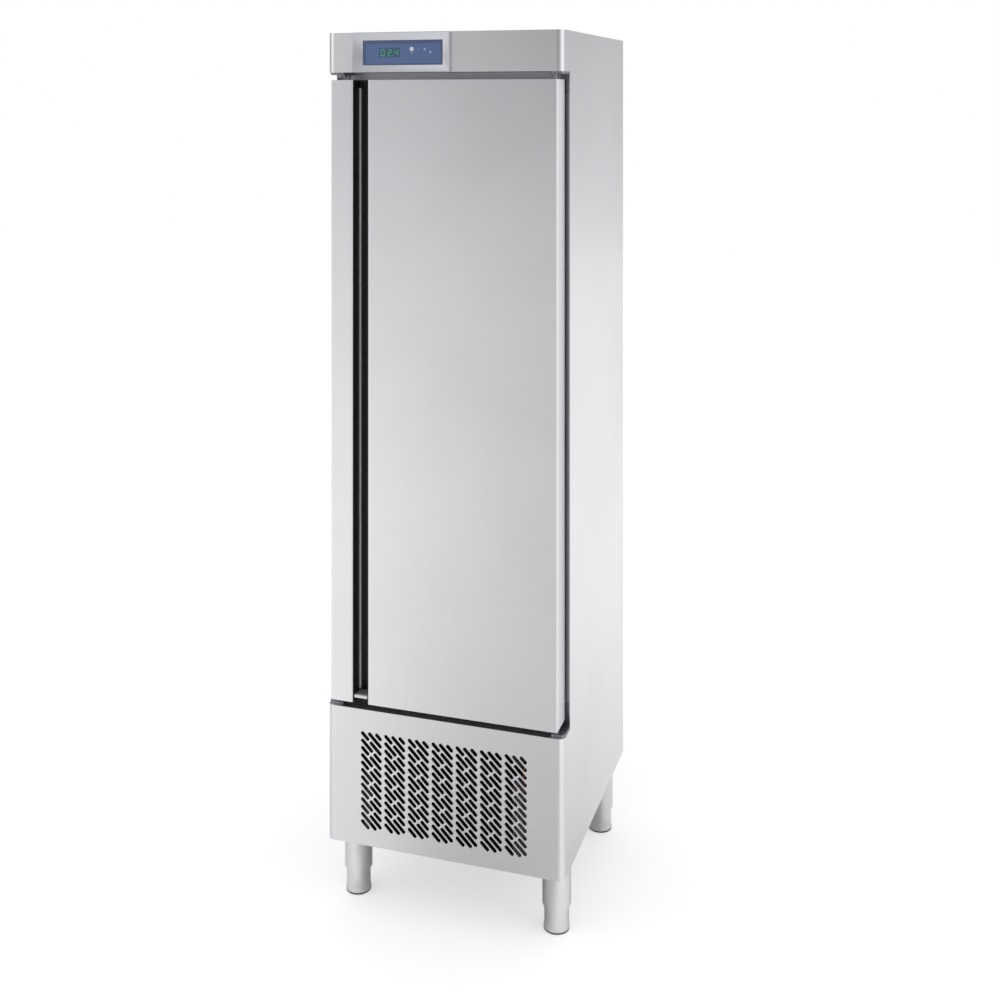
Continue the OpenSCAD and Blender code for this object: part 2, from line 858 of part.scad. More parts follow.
// Fan wheel along Y, turning on the motor's shaft
module fan_wheel(y0, depth, d, blades) {
    hub_d = 34;
    rotate([-90, 0, 0])
        translate([0, 0, y0])
            difference() {
                union() {
                    cylinder(d = hub_d, h = depth);
                    for (i = [0:blades - 1])
                        rotate([0, 0, i * 360 / blades])
                            intersection() {
                                translate([hub_d / 2 - 4, 0, depth / 2])
                                    rotate([28, 0, 0])
                                        translate([0, -d * 0.19, -0.75])
                                            cube([d / 2, d * 0.38, 1.5]);
                                difference() {
                                    cylinder(d = d, h = depth);
                                    translate([0, 0, -1]) cylinder(d = hub_d - 4, h = depth + 2);
                                }
                            }
                }
                translate([0, 0, -1])
                    cylinder(d = shaft_d + 2 * shaft_clear, h = depth + 2);
            }
}

module evaporator_fan_motor() {
    color("dimgray")
        translate([0, 0, cooler_fan_z])
            fan_motor(cooler_blade_y + cooler_blade_t + cooler_motor_gap, cooler_y + sheet_t,
                cooler_motor_len, cooler_hole_d, cooler_blade_t + cooler_motor_gap - 1);
}

module evaporator_fan_blades() {
    color("white")
        translate([0, 0, cooler_fan_z])
            fan_wheel(cooler_blade_y, cooler_blade_t, cooler_hole_d - 2 * fan_clear, 5);
}

module rounded_plate(x0, x1, y0, y1, t, r) {
    linear_extrude(t) {
        translate([x0, y0 + r]) square([x1 - x0, y1 - y0 - r]);
        translate([x0 + r, y0]) square([x1 - x0 - 2 * r, r + eps]);
        for (x = [x0 + r, x1 - r]) translate([x, y0 + r]) circle(r);
    }
}

// Hinge plate with its upright, drawn for the right-hand lower corner from the deck up
module hinge_plate() {
    x1 = half_w - sheet_t;
    rounded_plate(plate_x, x1, hinge_y - plate_front, frame_y, plate_t, 10);
    block([hinge_x + 2, frame_y - 3, 0], [x1, frame_y, bracket_h]);
}

// Lower bracket with the pin and the fixed cam that carries the door
module hinge_bracket_lower() {
    color("silver")
        translate([0, 0, deck_z]) {
            hinge_plate();
            translate([hinge_x, hinge_y, plate_t - eps]) {
                cylinder(d = cam_d, h = cam_h);
                cylinder(r = pin_r, h = door_end_gap - plate_t + bush_depth - 4);
            }
        }
}

module hinge_bracket_upper() {
    color("silver")
        translate([0, 0, fascia_z])
            mirror([0, 0, 1]) {
                hinge_plate();
                translate([hinge_x, hinge_y, plate_t - eps])
                    cylinder(r = pin_r, h = door_end_gap - plate_t + bush_depth - 4);
            }
}

// Plates with a round cap in the two unused hinge places on the left
module hinge_bracket_blank() {
    color("silver")
        for (upper = [0, 1])
            translate([0, 0, upper == 0 ? deck_z : fascia_z])
                mirror([0, 0, upper])
                    mirror([1, 0, 0]) {
                        hinge_plate();
                        translate([hinge_x, hinge_y, plate_t - eps]) cylinder(d = cam_d, h = cam_h);
                    }
}

module bush_holes(d) {
    for (z = [door_low - 1, door_high - bush_depth])
        translate([hinge_x, hinge_y, z]) cylinder(d = d, h = bush_depth + 1);
}

module channel_space() {
    block([channel_x, door_y - 1, door_low - 1],
        [channel_x + channel_w, door_y + channel_d, door_high + 1]);
}

// Outer pan of the door, cut by the handle channel over its whole height
module door_skin() {
    color(steel)
        difference() {
            block([-door_half, door_y, door_low], [door_half, door_back, door_high]);
            block([-door_half + sheet_t, door_y + sheet_t, door_low + sheet_t],
                [door_half - sheet_t, door_back + 1, door_high - sheet_t]);
            channel_space();
            bush_holes(bush_d);
        }
}

// Inner panel of the door with its pressed field
module door_inner_panel() {
    x = door_half - sheet_t;
    field = cavity_half - 22;
    color(steel)
        union() {
            block([-x, door_back - sheet_t, door_low + sheet_t], [x, door_back, door_high - sheet_t]);
            block([-field, door_back - eps, cavity_low + 22],
                [field, door_back + press_h, cavity_high - 22]);
        }
}

module door_foam() {
    x = door_half - sheet_t;
    color("khaki")
        difference() {
            block([-x, door_y + sheet_t, door_low + sheet_t],
                [x, door_back - sheet_t, door_high - sheet_t]);
            channel_space();
            bush_holes(bush_d);
        }
}

module ring_y(half, low, high, width, y0, y1) {
    difference() {
        block([-half, y0, low], [half, y1, high]);
        block([-half + width, y0 - 1, low + width], [half - width, y1 + 1, high - width]);
    }
}

// Magnetic gasket: a narrow foot on the door and a wide bulb that closes on the frame
module door_gasket() {
    inset = (gasket_w - gasket_foot_w) / 2;
    color("gray") {
        ring_y(gasket_half - inset, gasket_low + inset, gasket_high - inset, gasket_foot_w,
            door_back, door_back + gasket_foot_t);
        ring_y(gasket_half, gasket_low, gasket_high, gasket_w,
            door_back + gasket_foot_t - eps, frame_y - gasket_clear);
    }
}

// Black profile that lines the handle channel, open to the front
module handle_channel() {
    w = channel_wall;
    color("black")
        difference() {
            block([channel_x, door_y, door_low], [channel_x + channel_w, door_y + channel_d, door_high]);
            block([channel_x + w, door_y - 1, door_low - 1],
                [channel_x + channel_w - w, door_y + channel_d - w, door_high + 1]);
        }
}

// Bright strip in the channel's inner corner, between the caps
module handle_strip() {
    x = channel_x + channel_wall;
    y = door_y + channel_d - channel_wall;
    color("silver")
        block([x, y - strip_t, door_low + channel_cap_h], [x + strip_w, y, door_high - channel_cap_h]);
}

// Block across the channel, from a distance behind the door's front to the channel's back
module channel_fill(recess, low, high) {
    block([channel_x + channel_wall, door_y + recess, low],
        [channel_x + channel_w - channel_wall, door_y + channel_d - channel_wall, high]);
}

// Caps that close the channel's ends. The lower one has a lip that reaches to the front
module channel_caps() {
    color("silver") {
        translate([0, 0, door_low]) {
            channel_fill(cap_recess, 0, channel_cap_h);
            channel_fill(cap_lip_recess, channel_cap_h - cap_lip_h, channel_cap_h);
        }
        translate([0, 0, door_high - channel_cap_h]) channel_fill(cap_recess, 0, channel_cap_h);
    }
}

// Door's bushes: the lower one has the moving cam
module hinge_bushes() {
    bore = hinge_pin_d + 2 * hinge_clear;
    color("white")
        translate([hinge_x, hinge_y, 0]) {
            difference() {
                union() {
                    translate([0, 0, door_low]) cylinder(d = bush_d, h = bush_depth);
                    translate([0, 0, door_low - cam_h]) cylinder(d = cam_d, h = cam_h + eps);
                }
                translate([0, 0, door_low - cam_h - 1]) cylinder(d = bore, h = bush_depth + cam_h + 2);
            }
            translate([0, 0, door_high - bush_depth])
                difference() {
                    cylinder(d = bush_d, h = bush_depth);
                    translate([0, 0, -1]) cylinder(d = bore, h = bush_depth + 2);
                }
        }
}

// Hermetic compressor: domed shell on a bent foot plate
module compressor() {
    r = compressor_d / 2;
    dome = 34;
    color("dimgray")
        translate([compressor_x, compressor_y, compressor_z]) {
            translate([-r - 12, -r + 12, 0]) cube([2 * r + 24, 2 * r - 24, 3]);
            translate([0, 0, 3 - eps])
                rotate_extrude()
                    union() {
                        square([r - 12, compressor_h]);
                        translate([0, dome]) square([r, compressor_h - 2 * dome]);
                        intersection() {
                            translate([r - dome, dome]) circle(dome);
                            square([r, compressor_h]);
                        }
                        intersection() {
                            translate([r - dome, compressor_h - dome]) circle(dome);
                            square([r, compressor_h]);
                        }
                    }
        }
}

module compressor_mounts() {
    r = compressor_d / 2;
    color("black")
        for (x = [-r, r])
            for (y = [-r + 24, r - 24])
                translate([compressor_x + x, compressor_y + y, base_top]) cylinder(d = 22, h = rubber_h);
}

module condenser_coil() {
    color("silver") {
        finned_block(condenser_x, [-condenser_w / 2, condenser_y0, condenser_z],
            [condenser_w / 2, condenser_y1, condenser_z + condenser_h], condenser_fins, 6);
        for (x = [-condenser_w / 2 - 2, condenser_w / 2])
            block([condenser_x + x, condenser_y0, base_top],
                [condenser_x + x + 2, condenser_y1 + 1, condenser_z + condenser_h]);
    }
}

// Shroud that guides the air from the condenser through the fan
module condenser_shroud() {
    x = condenser_w / 2;
    ring = fan_d / 2 + fan_clear;
    color("gray")
        difference() {
            union() {
                block([condenser_x - x, shroud_y, base_top],
                    [condenser_x + x, shroud_y + 2, condenser_z + condenser_h]);
                translate([condenser_x, shroud_y, condenser_fan_z])
                    rotate([-90, 0, 0]) cylinder(r = ring + 2, h = shroud_t);
            }
            translate([condenser_x, shroud_y - 1, condenser_fan_z])
                rotate([-90, 0, 0]) cylinder(r = ring, h = shroud_t + 2);
        }
}

module condenser_fan_motor() {
    color("dimgray")
        translate([condenser_x, 0, condenser_fan_z])
            fan_motor(condenser_motor_y, shroud_y + shroud_t, condenser_motor_len,
                fan_d + 2 * fan_clear, blade_t + motor_gap - 1);
}

module condenser_fan_blades() {
    color("black")
        translate([condenser_x, 0, condenser_fan_z]) fan_wheel(blade_y, blade_t, fan_d, 5);
}

// Tray under the drain spout, where the condensate evaporates
module drip_tray() {
    wall = 2;
    color("black")
        translate([tray_x, tray_y, base_top])
            difference() {
                cube(tray_size);
                translate([wall, wall, wall])
                    cube([tray_size[0] - 2 * wall, tray_size[1] - 2 * wall, tray_size[2]]);
            }
}

// Quarter bend that turns from the direction u to the direction w at the corner p
module pipe_bend(p, u, w, d, r) {
    c = p - r * u + r * w;
    n = cross(u, w);
    multmatrix([[-w[0], u[0], n[0], c[0]], [-w[1], u[1], n[1], c[1]], [-w[2], u[2], n[2], c[2]],
        [0, 0, 0, 1]])
        rotate_extrude(angle = 90, $fn = 24) translate([r, 0]) circle(d = d, $fn = 24);
}

// Straight pipe along one axis from the point a to the point b
module pipe_straight(a, b, d) {
    v = b - a;
    turn = v[0] != 0 ? [0, 90 * sign(v[0]), 0] : v[1] != 0 ? [-90 * sign(v[1]), 0, 0]
        : [v[2] > 0 ? 0 : 180, 0, 0];
    translate(a) rotate(turn) cylinder(d = d, h = norm(v), $fn = 24);
}

// Pipe along corner points, with a bend of radius r at each inner corner
module pipe_run(points, d, r) {
    last = len(points) - 1;
    way = [for (i = [0:last - 1]) (points[i + 1] - points[i]) / norm(points[i + 1] - points[i])];
    for (i = [0:last - 1])
        pipe_straight(points[i] + (i > 0 ? r : 0) * way[i],
            points[i + 1] - (i < last - 1 ? r : 0) * way[i], d);
    for (i = [1:last - 1]) pipe_bend(points[i], way[i - 1], way[i], d, r);
}

// Suction pipe from the cooler to the compressor, and discharge pipe to the condenser
// through the filter drier
module refrigerant_pipes() {
    shell_top = compressor_z + 3 + compressor_h;
    suction_z = shell_top + 28;
    discharge_z = shell_top + 14;
    coil_z = (cooler_z + coil_low + cavity_high - coil_clear) / 2;
    coil_x = coil_half + tube_out;
    coil_y = coil_y0 + 0.7 * (coil_y1 - coil_y0);
    suction_x = compressor_x + 20;
    out_x = compressor_x - 30;
    tube_x = condenser_x + condenser_w / 2 + tube_out;
    tube_y = condenser_y0 + 0.7 * condenser_t;
    tube_z = condenser_z + 3.5 * condenser_h / 6;
    turn_x = tube_x + 24;
    forward_y = tube_y + discharge_back;
    color("peru") {
        pipe_run([[coil_x, coil_y, coil_z], [chase_x, coil_y, coil_z], [chase_x, chase_y, coil_z],
            [chase_x, chase_y, suction_z], [suction_x, chase_y, suction_z],
            [suction_x, compressor_y, suction_z], [suction_x, compressor_y, shell_top]],
            pipe_d, pipe_bend_r);
        pipe_run([[tube_x, tube_y, tube_z], [turn_x, tube_y, tube_z], [turn_x, tube_y, discharge_z],
            [turn_x, forward_y, discharge_z], [out_x, forward_y, discharge_z],
            [out_x, compressor_y, discharge_z], [out_x, compressor_y, shell_top]],
            discharge_d, discharge_bend_r);
        translate([out_x, (compressor_y + forward_y) / 2, discharge_z])
            rotate([90, 0, 0]) cylinder(d = drier_d, h = drier_len, center = true);
    }
}

// Electrical box of the compressor and the terminals
module electrical_box() {
    lid = 3;
    color("gray")
        translate([box_x, box_y, base_top]) {
            cube([box_size[0], box_size[1], box_size[2]]);
            translate([-lid, -lid, box_size[2] - eps])
                cube([box_size[0] + 2 * lid, box_size[1] + lid, lid]);
        }
}

// Gland in the rear grille for the mains cable
module cable_gland() {
    color("black")
        translate([gland_x, 0, gland_z])
            rotate([-90, 0, 0])
                difference() {
                    union() {
                        translate([0, 0, grille_rear_y - 5]) cylinder(d = gland_d, h = 16);
                        translate([0, 0, grille_rear_y + sheet_t]) cylinder(d = 26, h = 5, $fn = 6);
                        translate([0, 0, grille_rear_y - 4]) cylinder(d = 26, h = 4, $fn = 6);
                    }
                    translate([0, 0, grille_rear_y - 6]) cylinder(d = gland_bore_d, h = 18);
                }
}

side_panel_left();
side_panel_right();
top_panel();
rear_panel();
front_frame();
fascia();
control_bezel();
control_window();
controller_case();
key_power();
key_up();
key_down();
machine_deck();
lower_front_panel();
rear_grille();
base_pan();
insulation_foam();
liner_left();
liner_right();
liner_back();
liner_top();
liner_floor();
leg_front_left();
leg_front_right();
leg_rear_left();
leg_rear_right();
foot_front_left();
foot_front_right();
foot_rear_left();
foot_rear_right();
rack_uprights();
shelf_runners();
shelf_bottom();
shelf_middle();
shelf_top();
evaporator_coil();
evaporator_cover();
evaporator_fan_motor();
evaporator_fan_blades();
hinge_bracket_upper();
hinge_bracket_lower();
hinge_bracket_blank();
door_skin();
door_inner_panel();
door_foam();
door_gasket();
handle_channel();
handle_strip();
channel_caps();
hinge_bushes();
compressor();
compressor_mounts();
condenser_coil();
condenser_shroud();
condenser_fan_motor();
condenser_fan_blades();
drip_tray();
refrigerant_pipes();
electrical_box();
cable_gland();
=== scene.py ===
# %% [markdown]
# # Dressing an upright refrigerator
#
# The refrigerator is a stainless steel cabinet for a professional kitchen. Its construction comes
# packed from another program, and this lesson gives it its finish: satin steel sheet, a black
# pull, a blue control window, rubber, plastic and wire. We load the imported model first, because
# every piece that we add takes its place from it.

# %% Load the frame
import json
import math

import bmesh
import bpy
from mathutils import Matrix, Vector


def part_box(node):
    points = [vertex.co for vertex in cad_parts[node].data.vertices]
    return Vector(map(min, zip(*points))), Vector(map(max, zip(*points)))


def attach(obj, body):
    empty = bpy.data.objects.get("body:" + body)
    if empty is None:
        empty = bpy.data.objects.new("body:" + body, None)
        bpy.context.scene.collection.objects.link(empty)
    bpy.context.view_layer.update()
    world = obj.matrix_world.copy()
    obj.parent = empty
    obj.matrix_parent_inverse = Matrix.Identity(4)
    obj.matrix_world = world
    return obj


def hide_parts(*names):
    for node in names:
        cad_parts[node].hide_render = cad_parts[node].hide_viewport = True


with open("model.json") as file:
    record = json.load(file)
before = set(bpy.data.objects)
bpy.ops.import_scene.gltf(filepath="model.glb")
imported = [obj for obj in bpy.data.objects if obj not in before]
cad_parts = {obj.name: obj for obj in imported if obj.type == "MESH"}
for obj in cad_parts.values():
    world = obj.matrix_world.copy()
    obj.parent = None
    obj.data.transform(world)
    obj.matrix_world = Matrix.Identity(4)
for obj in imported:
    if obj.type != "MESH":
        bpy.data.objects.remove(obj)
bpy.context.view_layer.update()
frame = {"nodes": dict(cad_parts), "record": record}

# %% [markdown]
# Sizes in this trade are given in millimetres, and Blender works in metres. One short helper turns
# a length into metres, so that the numbers below read like a drawing.

# %% A helper for millimetres
def mm(length):
    return length / 1000.0


# %% [markdown]
# ## Camera
#
# The photograph shows the cabinet from the right, and its upright edges stay parallel. A
# photographer gets that with a level camera whose lens is shifted down. We do the same: the camera
# stands at eye height, looks level, and the vertical shift brings the legs into the frame.

# %% Place the camera
CAMERA_PLACE = Vector((mm(942), mm(-2836), mm(1733.5)))
CAMERA_TURN = math.radians(17.67)
LENS = 47.02
SHIFT_DOWN = -0.401

camera_data = bpy.data.cameras.new("studio_camera")
camera_data.lens = LENS
camera_data.sensor_width = 36.0
camera_data.shift_y = SHIFT_DOWN
camera = bpy.data.objects.new("studio_camera", camera_data)
camera.location = CAMERA_PLACE
camera.rotation_euler = (math.radians(90), 0.0, CAMERA_TURN)
bpy.context.collection.objects.link(camera)
bpy.context.scene.camera = camera
bpy.context.scene.view_settings.view_transform = "Standard"
print("camera at", [round(v, 3) for v in camera.location])

# %% [markdown]
# ## Studio
#
# Satin steel has hardly any colour of its own: it shows the room. The room here is white, with a
# calmer zone in front, where the photographer stands, and two fainter ones on the left and the
# right. The world paints that room by direction, so the steel gets soft tones from it, while the
# camera itself sees plain white. Light Path tells the two apart.

# %% Small helpers for node trees
def add(tree, kind, **settings):
    node = tree.nodes.new(kind)
    for key, value in settings.items():
        setattr(node, key, value)
    return node


def math_node(tree, operation, first, second=None, clamp=False):
    node = add(tree, "ShaderNodeMath", operation=operation, use_clamp=clamp)
    for socket, value in zip(node.inputs, (first, second)):
        if value is None:
            continue
        if isinstance(value, (int, float)):
            socket.default_value = value
        else:
            tree.links.new(value, socket)
    return node.outputs[0]


def ramp_value(tree, value, low, high, out_low=0.0, out_high=1.0):
    node = add(tree, "ShaderNodeMapRange", interpolation_type="SMOOTHSTEP")
    tree.links.new(value, node.inputs["Value"])
    ends = {"From Min": low, "From Max": high, "To Min": out_low, "To Max": out_high}
    for name, number in ends.items():
        node.inputs[name].default_value = number
    return node.outputs["Result"]


# %% Paint the room
ROOM_LIGHT = 0.8
WALL_TONE = 0.62
LOW_TONE = 0.97
FRONT_ZONE = (Vector((0.1, -1.0, 0.0)).normalized(), 0.76, 1.0)
LEFT_ZONE = (Vector((-1.0, 0.6, 0.0)).normalized(), -0.1, 0.8)
RIGHT_ZONE = (Vector((1.0, 0.3, 0.0)).normalized(), 0.6, 1.0)
FRONT_DEPTH, LEFT_DEPTH, RIGHT_DEPTH = 0.74, 0.35, 0.2
TONE_LOW_Z, TONE_HIGH_Z = -0.16, 0.14
ZONE_LOW_Z, ZONE_HIGH_Z, ZONE_LOW_SHARE = -0.15, 0.1, 0.4
WHITE = (1.0, 1.0, 1.0, 1.0)
COOL_WHITE = (0.975, 0.975, 1.0, 1.0)


def outside_zone(tree, direction, zone, depth):
    """The room's brightness in one calm zone: 1 outside it, and 1 less the depth in its middle."""
    centre, edge, middle = zone
    unit = add(tree, "ShaderNodeVectorMath", operation="NORMALIZE")
    tree.links.new(direction, unit.inputs[0])
    dot = add(tree, "ShaderNodeVectorMath", operation="DOT_PRODUCT")
    tree.links.new(unit.outputs[0], dot.inputs[0])
    dot.inputs[1].default_value = centre
    share = ramp_value(tree, dot.outputs["Value"], edge, middle)
    return math_node(tree, "SUBTRACT", 1.0, math_node(tree, "MULTIPLY", share, depth))


def seen_directly(tree, path):
    """1 for rays from the camera and for those that pass through glass."""
    return math_node(tree, "MAXIMUM", path.outputs["Is Camera Ray"], path.outputs["Is Transmission Ray"])


def background(tree, color, strength):
    node = add(tree, "ShaderNodeBackground")
    node.inputs["Color"].default_value = color
    if isinstance(strength, float):
        node.inputs["Strength"].default_value = strength
    else:
        tree.links.new(strength, node.inputs["Strength"])
    return node.outputs[0]


def mix(tree, share, first, second):
    node = add(tree, "ShaderNodeMixShader")
    for socket, source in zip(node.inputs, (share, first, second)):
        tree.links.new(source, socket)
    return node.outputs[0]


def build_world():
    world = bpy.data.worlds.new("studio_room")
    world.use_nodes = True
    tree = world.node_tree
    tree.nodes.clear()
    direction = add(tree, "ShaderNodeTexCoord").outputs["Generated"]
    split = add(tree, "ShaderNodeSeparateXYZ")
    tree.links.new(direction, split.inputs[0])
    rise = split.outputs["Z"]
    room = ramp_value(tree, rise, TONE_LOW_Z, TONE_HIGH_Z, LOW_TONE, WALL_TONE)
    depth = ramp_value(tree, rise, ZONE_LOW_Z, ZONE_HIGH_Z, FRONT_DEPTH * ZONE_LOW_SHARE, FRONT_DEPTH)
    for zone, zone_depth in ((FRONT_ZONE, depth), (LEFT_ZONE, LEFT_DEPTH), (RIGHT_ZONE, RIGHT_DEPTH)):
        room = math_node(tree, "MULTIPLY", room, outside_zone(tree, direction, zone, zone_depth))
    path = add(tree, "ShaderNodeLightPath")
    unseen = mix(tree, path.outputs["Is Glossy Ray"], background(tree, WHITE, ROOM_LIGHT),
                 background(tree, COOL_WHITE, room))
    whole = mix(tree, seen_directly(tree, path), unseen, background(tree, WHITE, 1.0))
    output = add(tree, "ShaderNodeOutputWorld")
    tree.links.new(whole, output.inputs["Surface"])
    return world


bpy.context.scene.world = build_world()
print("room light", ROOM_LIGHT, "wall tone", WALL_TONE)

# %% [markdown]
# The floor is a plain pale sheet. It glows a little for the camera and for reflections, which is the
# white sweep of a product picture, and it still takes the soft shadow of the cabinet. The glow is
# weaker near the cabinet, so that the shadow stays, and weaker in reflections towards the calm zones.

# %% Lay the floor
FLOOR_HALF = 12.0
FLOOR_GREY = 0.7
GLOW_NEAR, GLOW_FAR = 0.47, 0.5
MIRROR_NEAR, MIRROR_FAR = 0.38, 0.56
FLOOR_ZONES = ((FRONT_ZONE, 0.95), (LEFT_ZONE, 0.6), (RIGHT_ZONE, 0.35))


def floor_material():
    material = bpy.data.materials.new("pale_floor")
    material.use_nodes = True
    tree = material.node_tree
    tree.nodes.clear()
    place = add(tree, "ShaderNodeTexCoord").outputs["Object"]
    distance = add(tree, "ShaderNodeVectorMath", operation="LENGTH")
    tree.links.new(place, distance.inputs[0])
    distance = distance.outputs["Value"]
    path = add(tree, "ShaderNodeLightPath")
    diffuse = add(tree, "ShaderNodeBsdfDiffuse")
    diffuse.inputs["Color"].default_value = (FLOOR_GREY, FLOOR_GREY, FLOOR_GREY, 1.0)
    glow = add(tree, "ShaderNodeEmission")
    glow.inputs["Color"].default_value = WHITE
    seen = seen_directly(tree, path)
    sweep = ramp_value(tree, distance, 0.5, 3.0, GLOW_NEAR, GLOW_FAR)
    open_glow = math_node(tree, "MULTIPLY", seen, sweep)
    bright = ramp_value(tree, distance, 0.6, 2.2, MIRROR_NEAR, MIRROR_FAR)
    # Painted shadow in reflections: the glow that reflections see fades out under and beside the cabinet.
    bright = math_node(tree, "MULTIPLY", bright, ramp_value(tree, distance, 0.25, 0.38))
    for zone, depth in FLOOR_ZONES:
        bright = math_node(tree, "MULTIPLY", bright, outside_zone(tree, place, zone, depth))
    mirror_glow = math_node(tree, "MULTIPLY", path.outputs["Is Glossy Ray"], bright)
    strength = math_node(tree, "ADD", open_glow, mirror_glow)
    tree.links.new(strength, glow.inputs["Strength"])
    both = add(tree, "ShaderNodeAddShader")
    tree.links.new(diffuse.outputs[0], both.inputs[0])
    tree.links.new(glow.outputs[0], both.inputs[1])
    output = add(tree, "ShaderNodeOutputMaterial")
    tree.links.new(both.outputs[0], output.inputs["Surface"])
    return material


def lay_floor():
    mesh = bpy.data.meshes.new("floor")
    corners = [(-FLOOR_HALF, -FLOOR_HALF), (FLOOR_HALF, -FLOOR_HALF), (FLOOR_HALF, FLOOR_HALF),
               (-FLOOR_HALF, FLOOR_HALF)]
    mesh.from_pydata([(x, y, mm(-0.2)) for x, y in corners], [], [(0, 1, 2, 3)])
    floor = bpy.data.objects.new("floor", mesh)
    floor.data.materials.append(floor_material())
    bpy.context.collection.objects.link(floor)
    return floor


lay_floor()
print("floor half width", FLOOR_HALF)

# %% [markdown]
# Two soft boxes give the shapes their direction: the stronger one hangs at the upper left, and the
# weaker one on the right brightens the side panel. They are big, so that no edge gets a hard shadow.

# %% Hang the soft boxes
SOFT_BOX_SIZE = 3.2
SOFT_BOXES = [
    ("soft_box_left", (-3.2, -2.4, 3.2), (0.0, 0.0, 1.0), 26.0),
    ("soft_box_right", (3.4, -0.6, 2.2), (0.2, 0.0, 0.8), 18.0),
]


def hang_soft_box(name, place, target, watts):
    data = bpy.data.lights.new(name, "AREA")
    data.shape = "SQUARE"
    data.size = SOFT_BOX_SIZE
    data.energy = watts
    lamp = bpy.data.objects.new(name, data)
    lamp.location = place
    aim = Vector(target) - Vector(place)
    lamp.rotation_mode = "QUATERNION"
    lamp.rotation_quaternion = aim.to_track_quat("-Z", "Y")
    bpy.context.collection.objects.link(lamp)


for box in SOFT_BOXES:
    hang_soft_box(*box)
print("soft boxes:", len(SOFT_BOXES))

# %% [markdown]
# ## Shared surface effects
#
# Rolled and brushed steel carries fine parallel lines, and a surface in use carries faint broad
# smears. Several finishes need both, so each is a node group with named inputs and outputs. The
# groups hand out values and normals, and the shader itself stays in each material.

# %% A helper for node groups
def new_group(name, inputs, outputs):
    group = bpy.data.node_groups.new(name, "ShaderNodeTree")
    for title, kind, value in inputs:
        socket = group.interface.new_socket(title, in_out="INPUT", socket_type=kind)
        socket.default_value = value
    for title, kind in outputs:
        group.interface.new_socket(title, in_out="OUTPUT", socket_type=kind)
    return group, add(group, "NodeGroupInput"), add(group, "NodeGroupOutput")


def finish_grain(group, inside, outside, grain, name, height):
    """Turns a grain into the group's roughness and, as a bump of some height, into its normal."""
    change = math_node(group, "SUBTRACT", grain, 0.5)
    change = math_node(group, "MULTIPLY", change, inside.outputs["Roughness Change"])
    change = math_node(group, "MULTIPLY", change, 2.0)
    rough = math_node(group, "ADD", change, inside.outputs["Roughness"], clamp=True)
    bump = add(group, "ShaderNodeBump")
    bump.inputs["Distance"].default_value = height
    group.links.new(inside.outputs["Depth"], bump.inputs["Strength"])
    group.links.new(grain, bump.inputs["Height"])
    group.links.new(grain, outside.inputs[name])
    group.links.new(rough, outside.inputs["Roughness"])
    group.links.new(bump.outputs["Normal"], outside.inputs["Normal"])
    return group


# %% Node group for brushed lines
def build_brushed_lines():
    group, inside, outside = new_group(
        "brushed_lines",
        [("Stretch", "NodeSocketVector", (900.0, 900.0, 6.0)), ("Roughness", "NodeSocketFloat", 0.3),
         ("Roughness Change", "NodeSocketFloat", 0.08), ("Depth", "NodeSocketFloat", 0.1)],
        [("Lines", "NodeSocketFloat"), ("Roughness", "NodeSocketFloat"), ("Normal", "NodeSocketVector")])
    coordinates = add(group, "ShaderNodeTexCoord")
    scaled = add(group, "ShaderNodeVectorMath", operation="MULTIPLY")
    group.links.new(coordinates.outputs["Object"], scaled.inputs[0])
    group.links.new(inside.outputs["Stretch"], scaled.inputs[1])
    noise = add(group, "ShaderNodeTexNoise")
    noise.inputs["Scale"].default_value = 1.0
    noise.inputs["Detail"].default_value = 3.0
    noise.inputs["Roughness"].default_value = 0.6
    group.links.new(scaled.outputs[0], noise.inputs["Vector"])
    return finish_grain(group, inside, outside, noise.outputs["Fac"], "Lines", mm(0.05))


BRUSHED_LINES = build_brushed_lines()
print("group:", BRUSHED_LINES.name)


# %% Node group for faint smears
def build_smears():
    group, inside, outside = new_group(
        "faint_smears",
        [("Color", "NodeSocketColor", (0.8, 0.8, 0.8, 1.0)), ("Scale", "NodeSocketFloat", 3.0),
         ("Amount", "NodeSocketFloat", 0.06)],
        [("Color", "NodeSocketColor"), ("Mask", "NodeSocketFloat")])
    coordinates = add(group, "ShaderNodeTexCoord")
    noise = add(group, "ShaderNodeTexNoise")
    noise.inputs["Detail"].default_value = 4.0
    noise.inputs["Roughness"].default_value = 0.55
    group.links.new(coordinates.outputs["Object"], noise.inputs["Vector"])
    group.links.new(inside.outputs["Scale"], noise.inputs["Scale"])
    mask = ramp_value(group, noise.outputs["Fac"], 0.35, 0.72)
    darker = math_node(group, "MULTIPLY", mask, inside.outputs["Amount"])
    keep = math_node(group, "SUBTRACT", 1.0, darker)
    scaled = add(group, "ShaderNodeVectorMath", operation="SCALE")
    group.links.new(inside.outputs["Color"], scaled.inputs[0])
    group.links.new(keep, scaled.inputs["Scale"])
    group.links.new(scaled.outputs[0], outside.inputs["Color"])
    group.links.new(mask, outside.inputs["Mask"])
    return group


SMEARS = build_smears()
print("group:", SMEARS.name)


# %% Node group for moulded grain
def build_moulded_grain():
    group, inside, outside = new_group(
        "moulded_grain",
        [("Scale", "NodeSocketFloat", 900.0), ("Depth", "NodeSocketFloat", 0.2),
         ("Roughness", "NodeSocketFloat", 0.5), ("Roughness Change", "NodeSocketFloat", 0.08)],
        [("Grain", "NodeSocketFloat"), ("Roughness", "NodeSocketFloat"), ("Normal", "NodeSocketVector")])
    coordinates = add(group, "ShaderNodeTexCoord")
    noise = add(group, "ShaderNodeTexNoise")
    noise.inputs["Detail"].default_value = 2.0
    group.links.new(coordinates.outputs["Object"], noise.inputs["Vector"])
    group.links.new(inside.outputs["Scale"], noise.inputs["Scale"])
    return finish_grain(group, inside, outside, noise.outputs["Fac"], "Grain", mm(0.1))


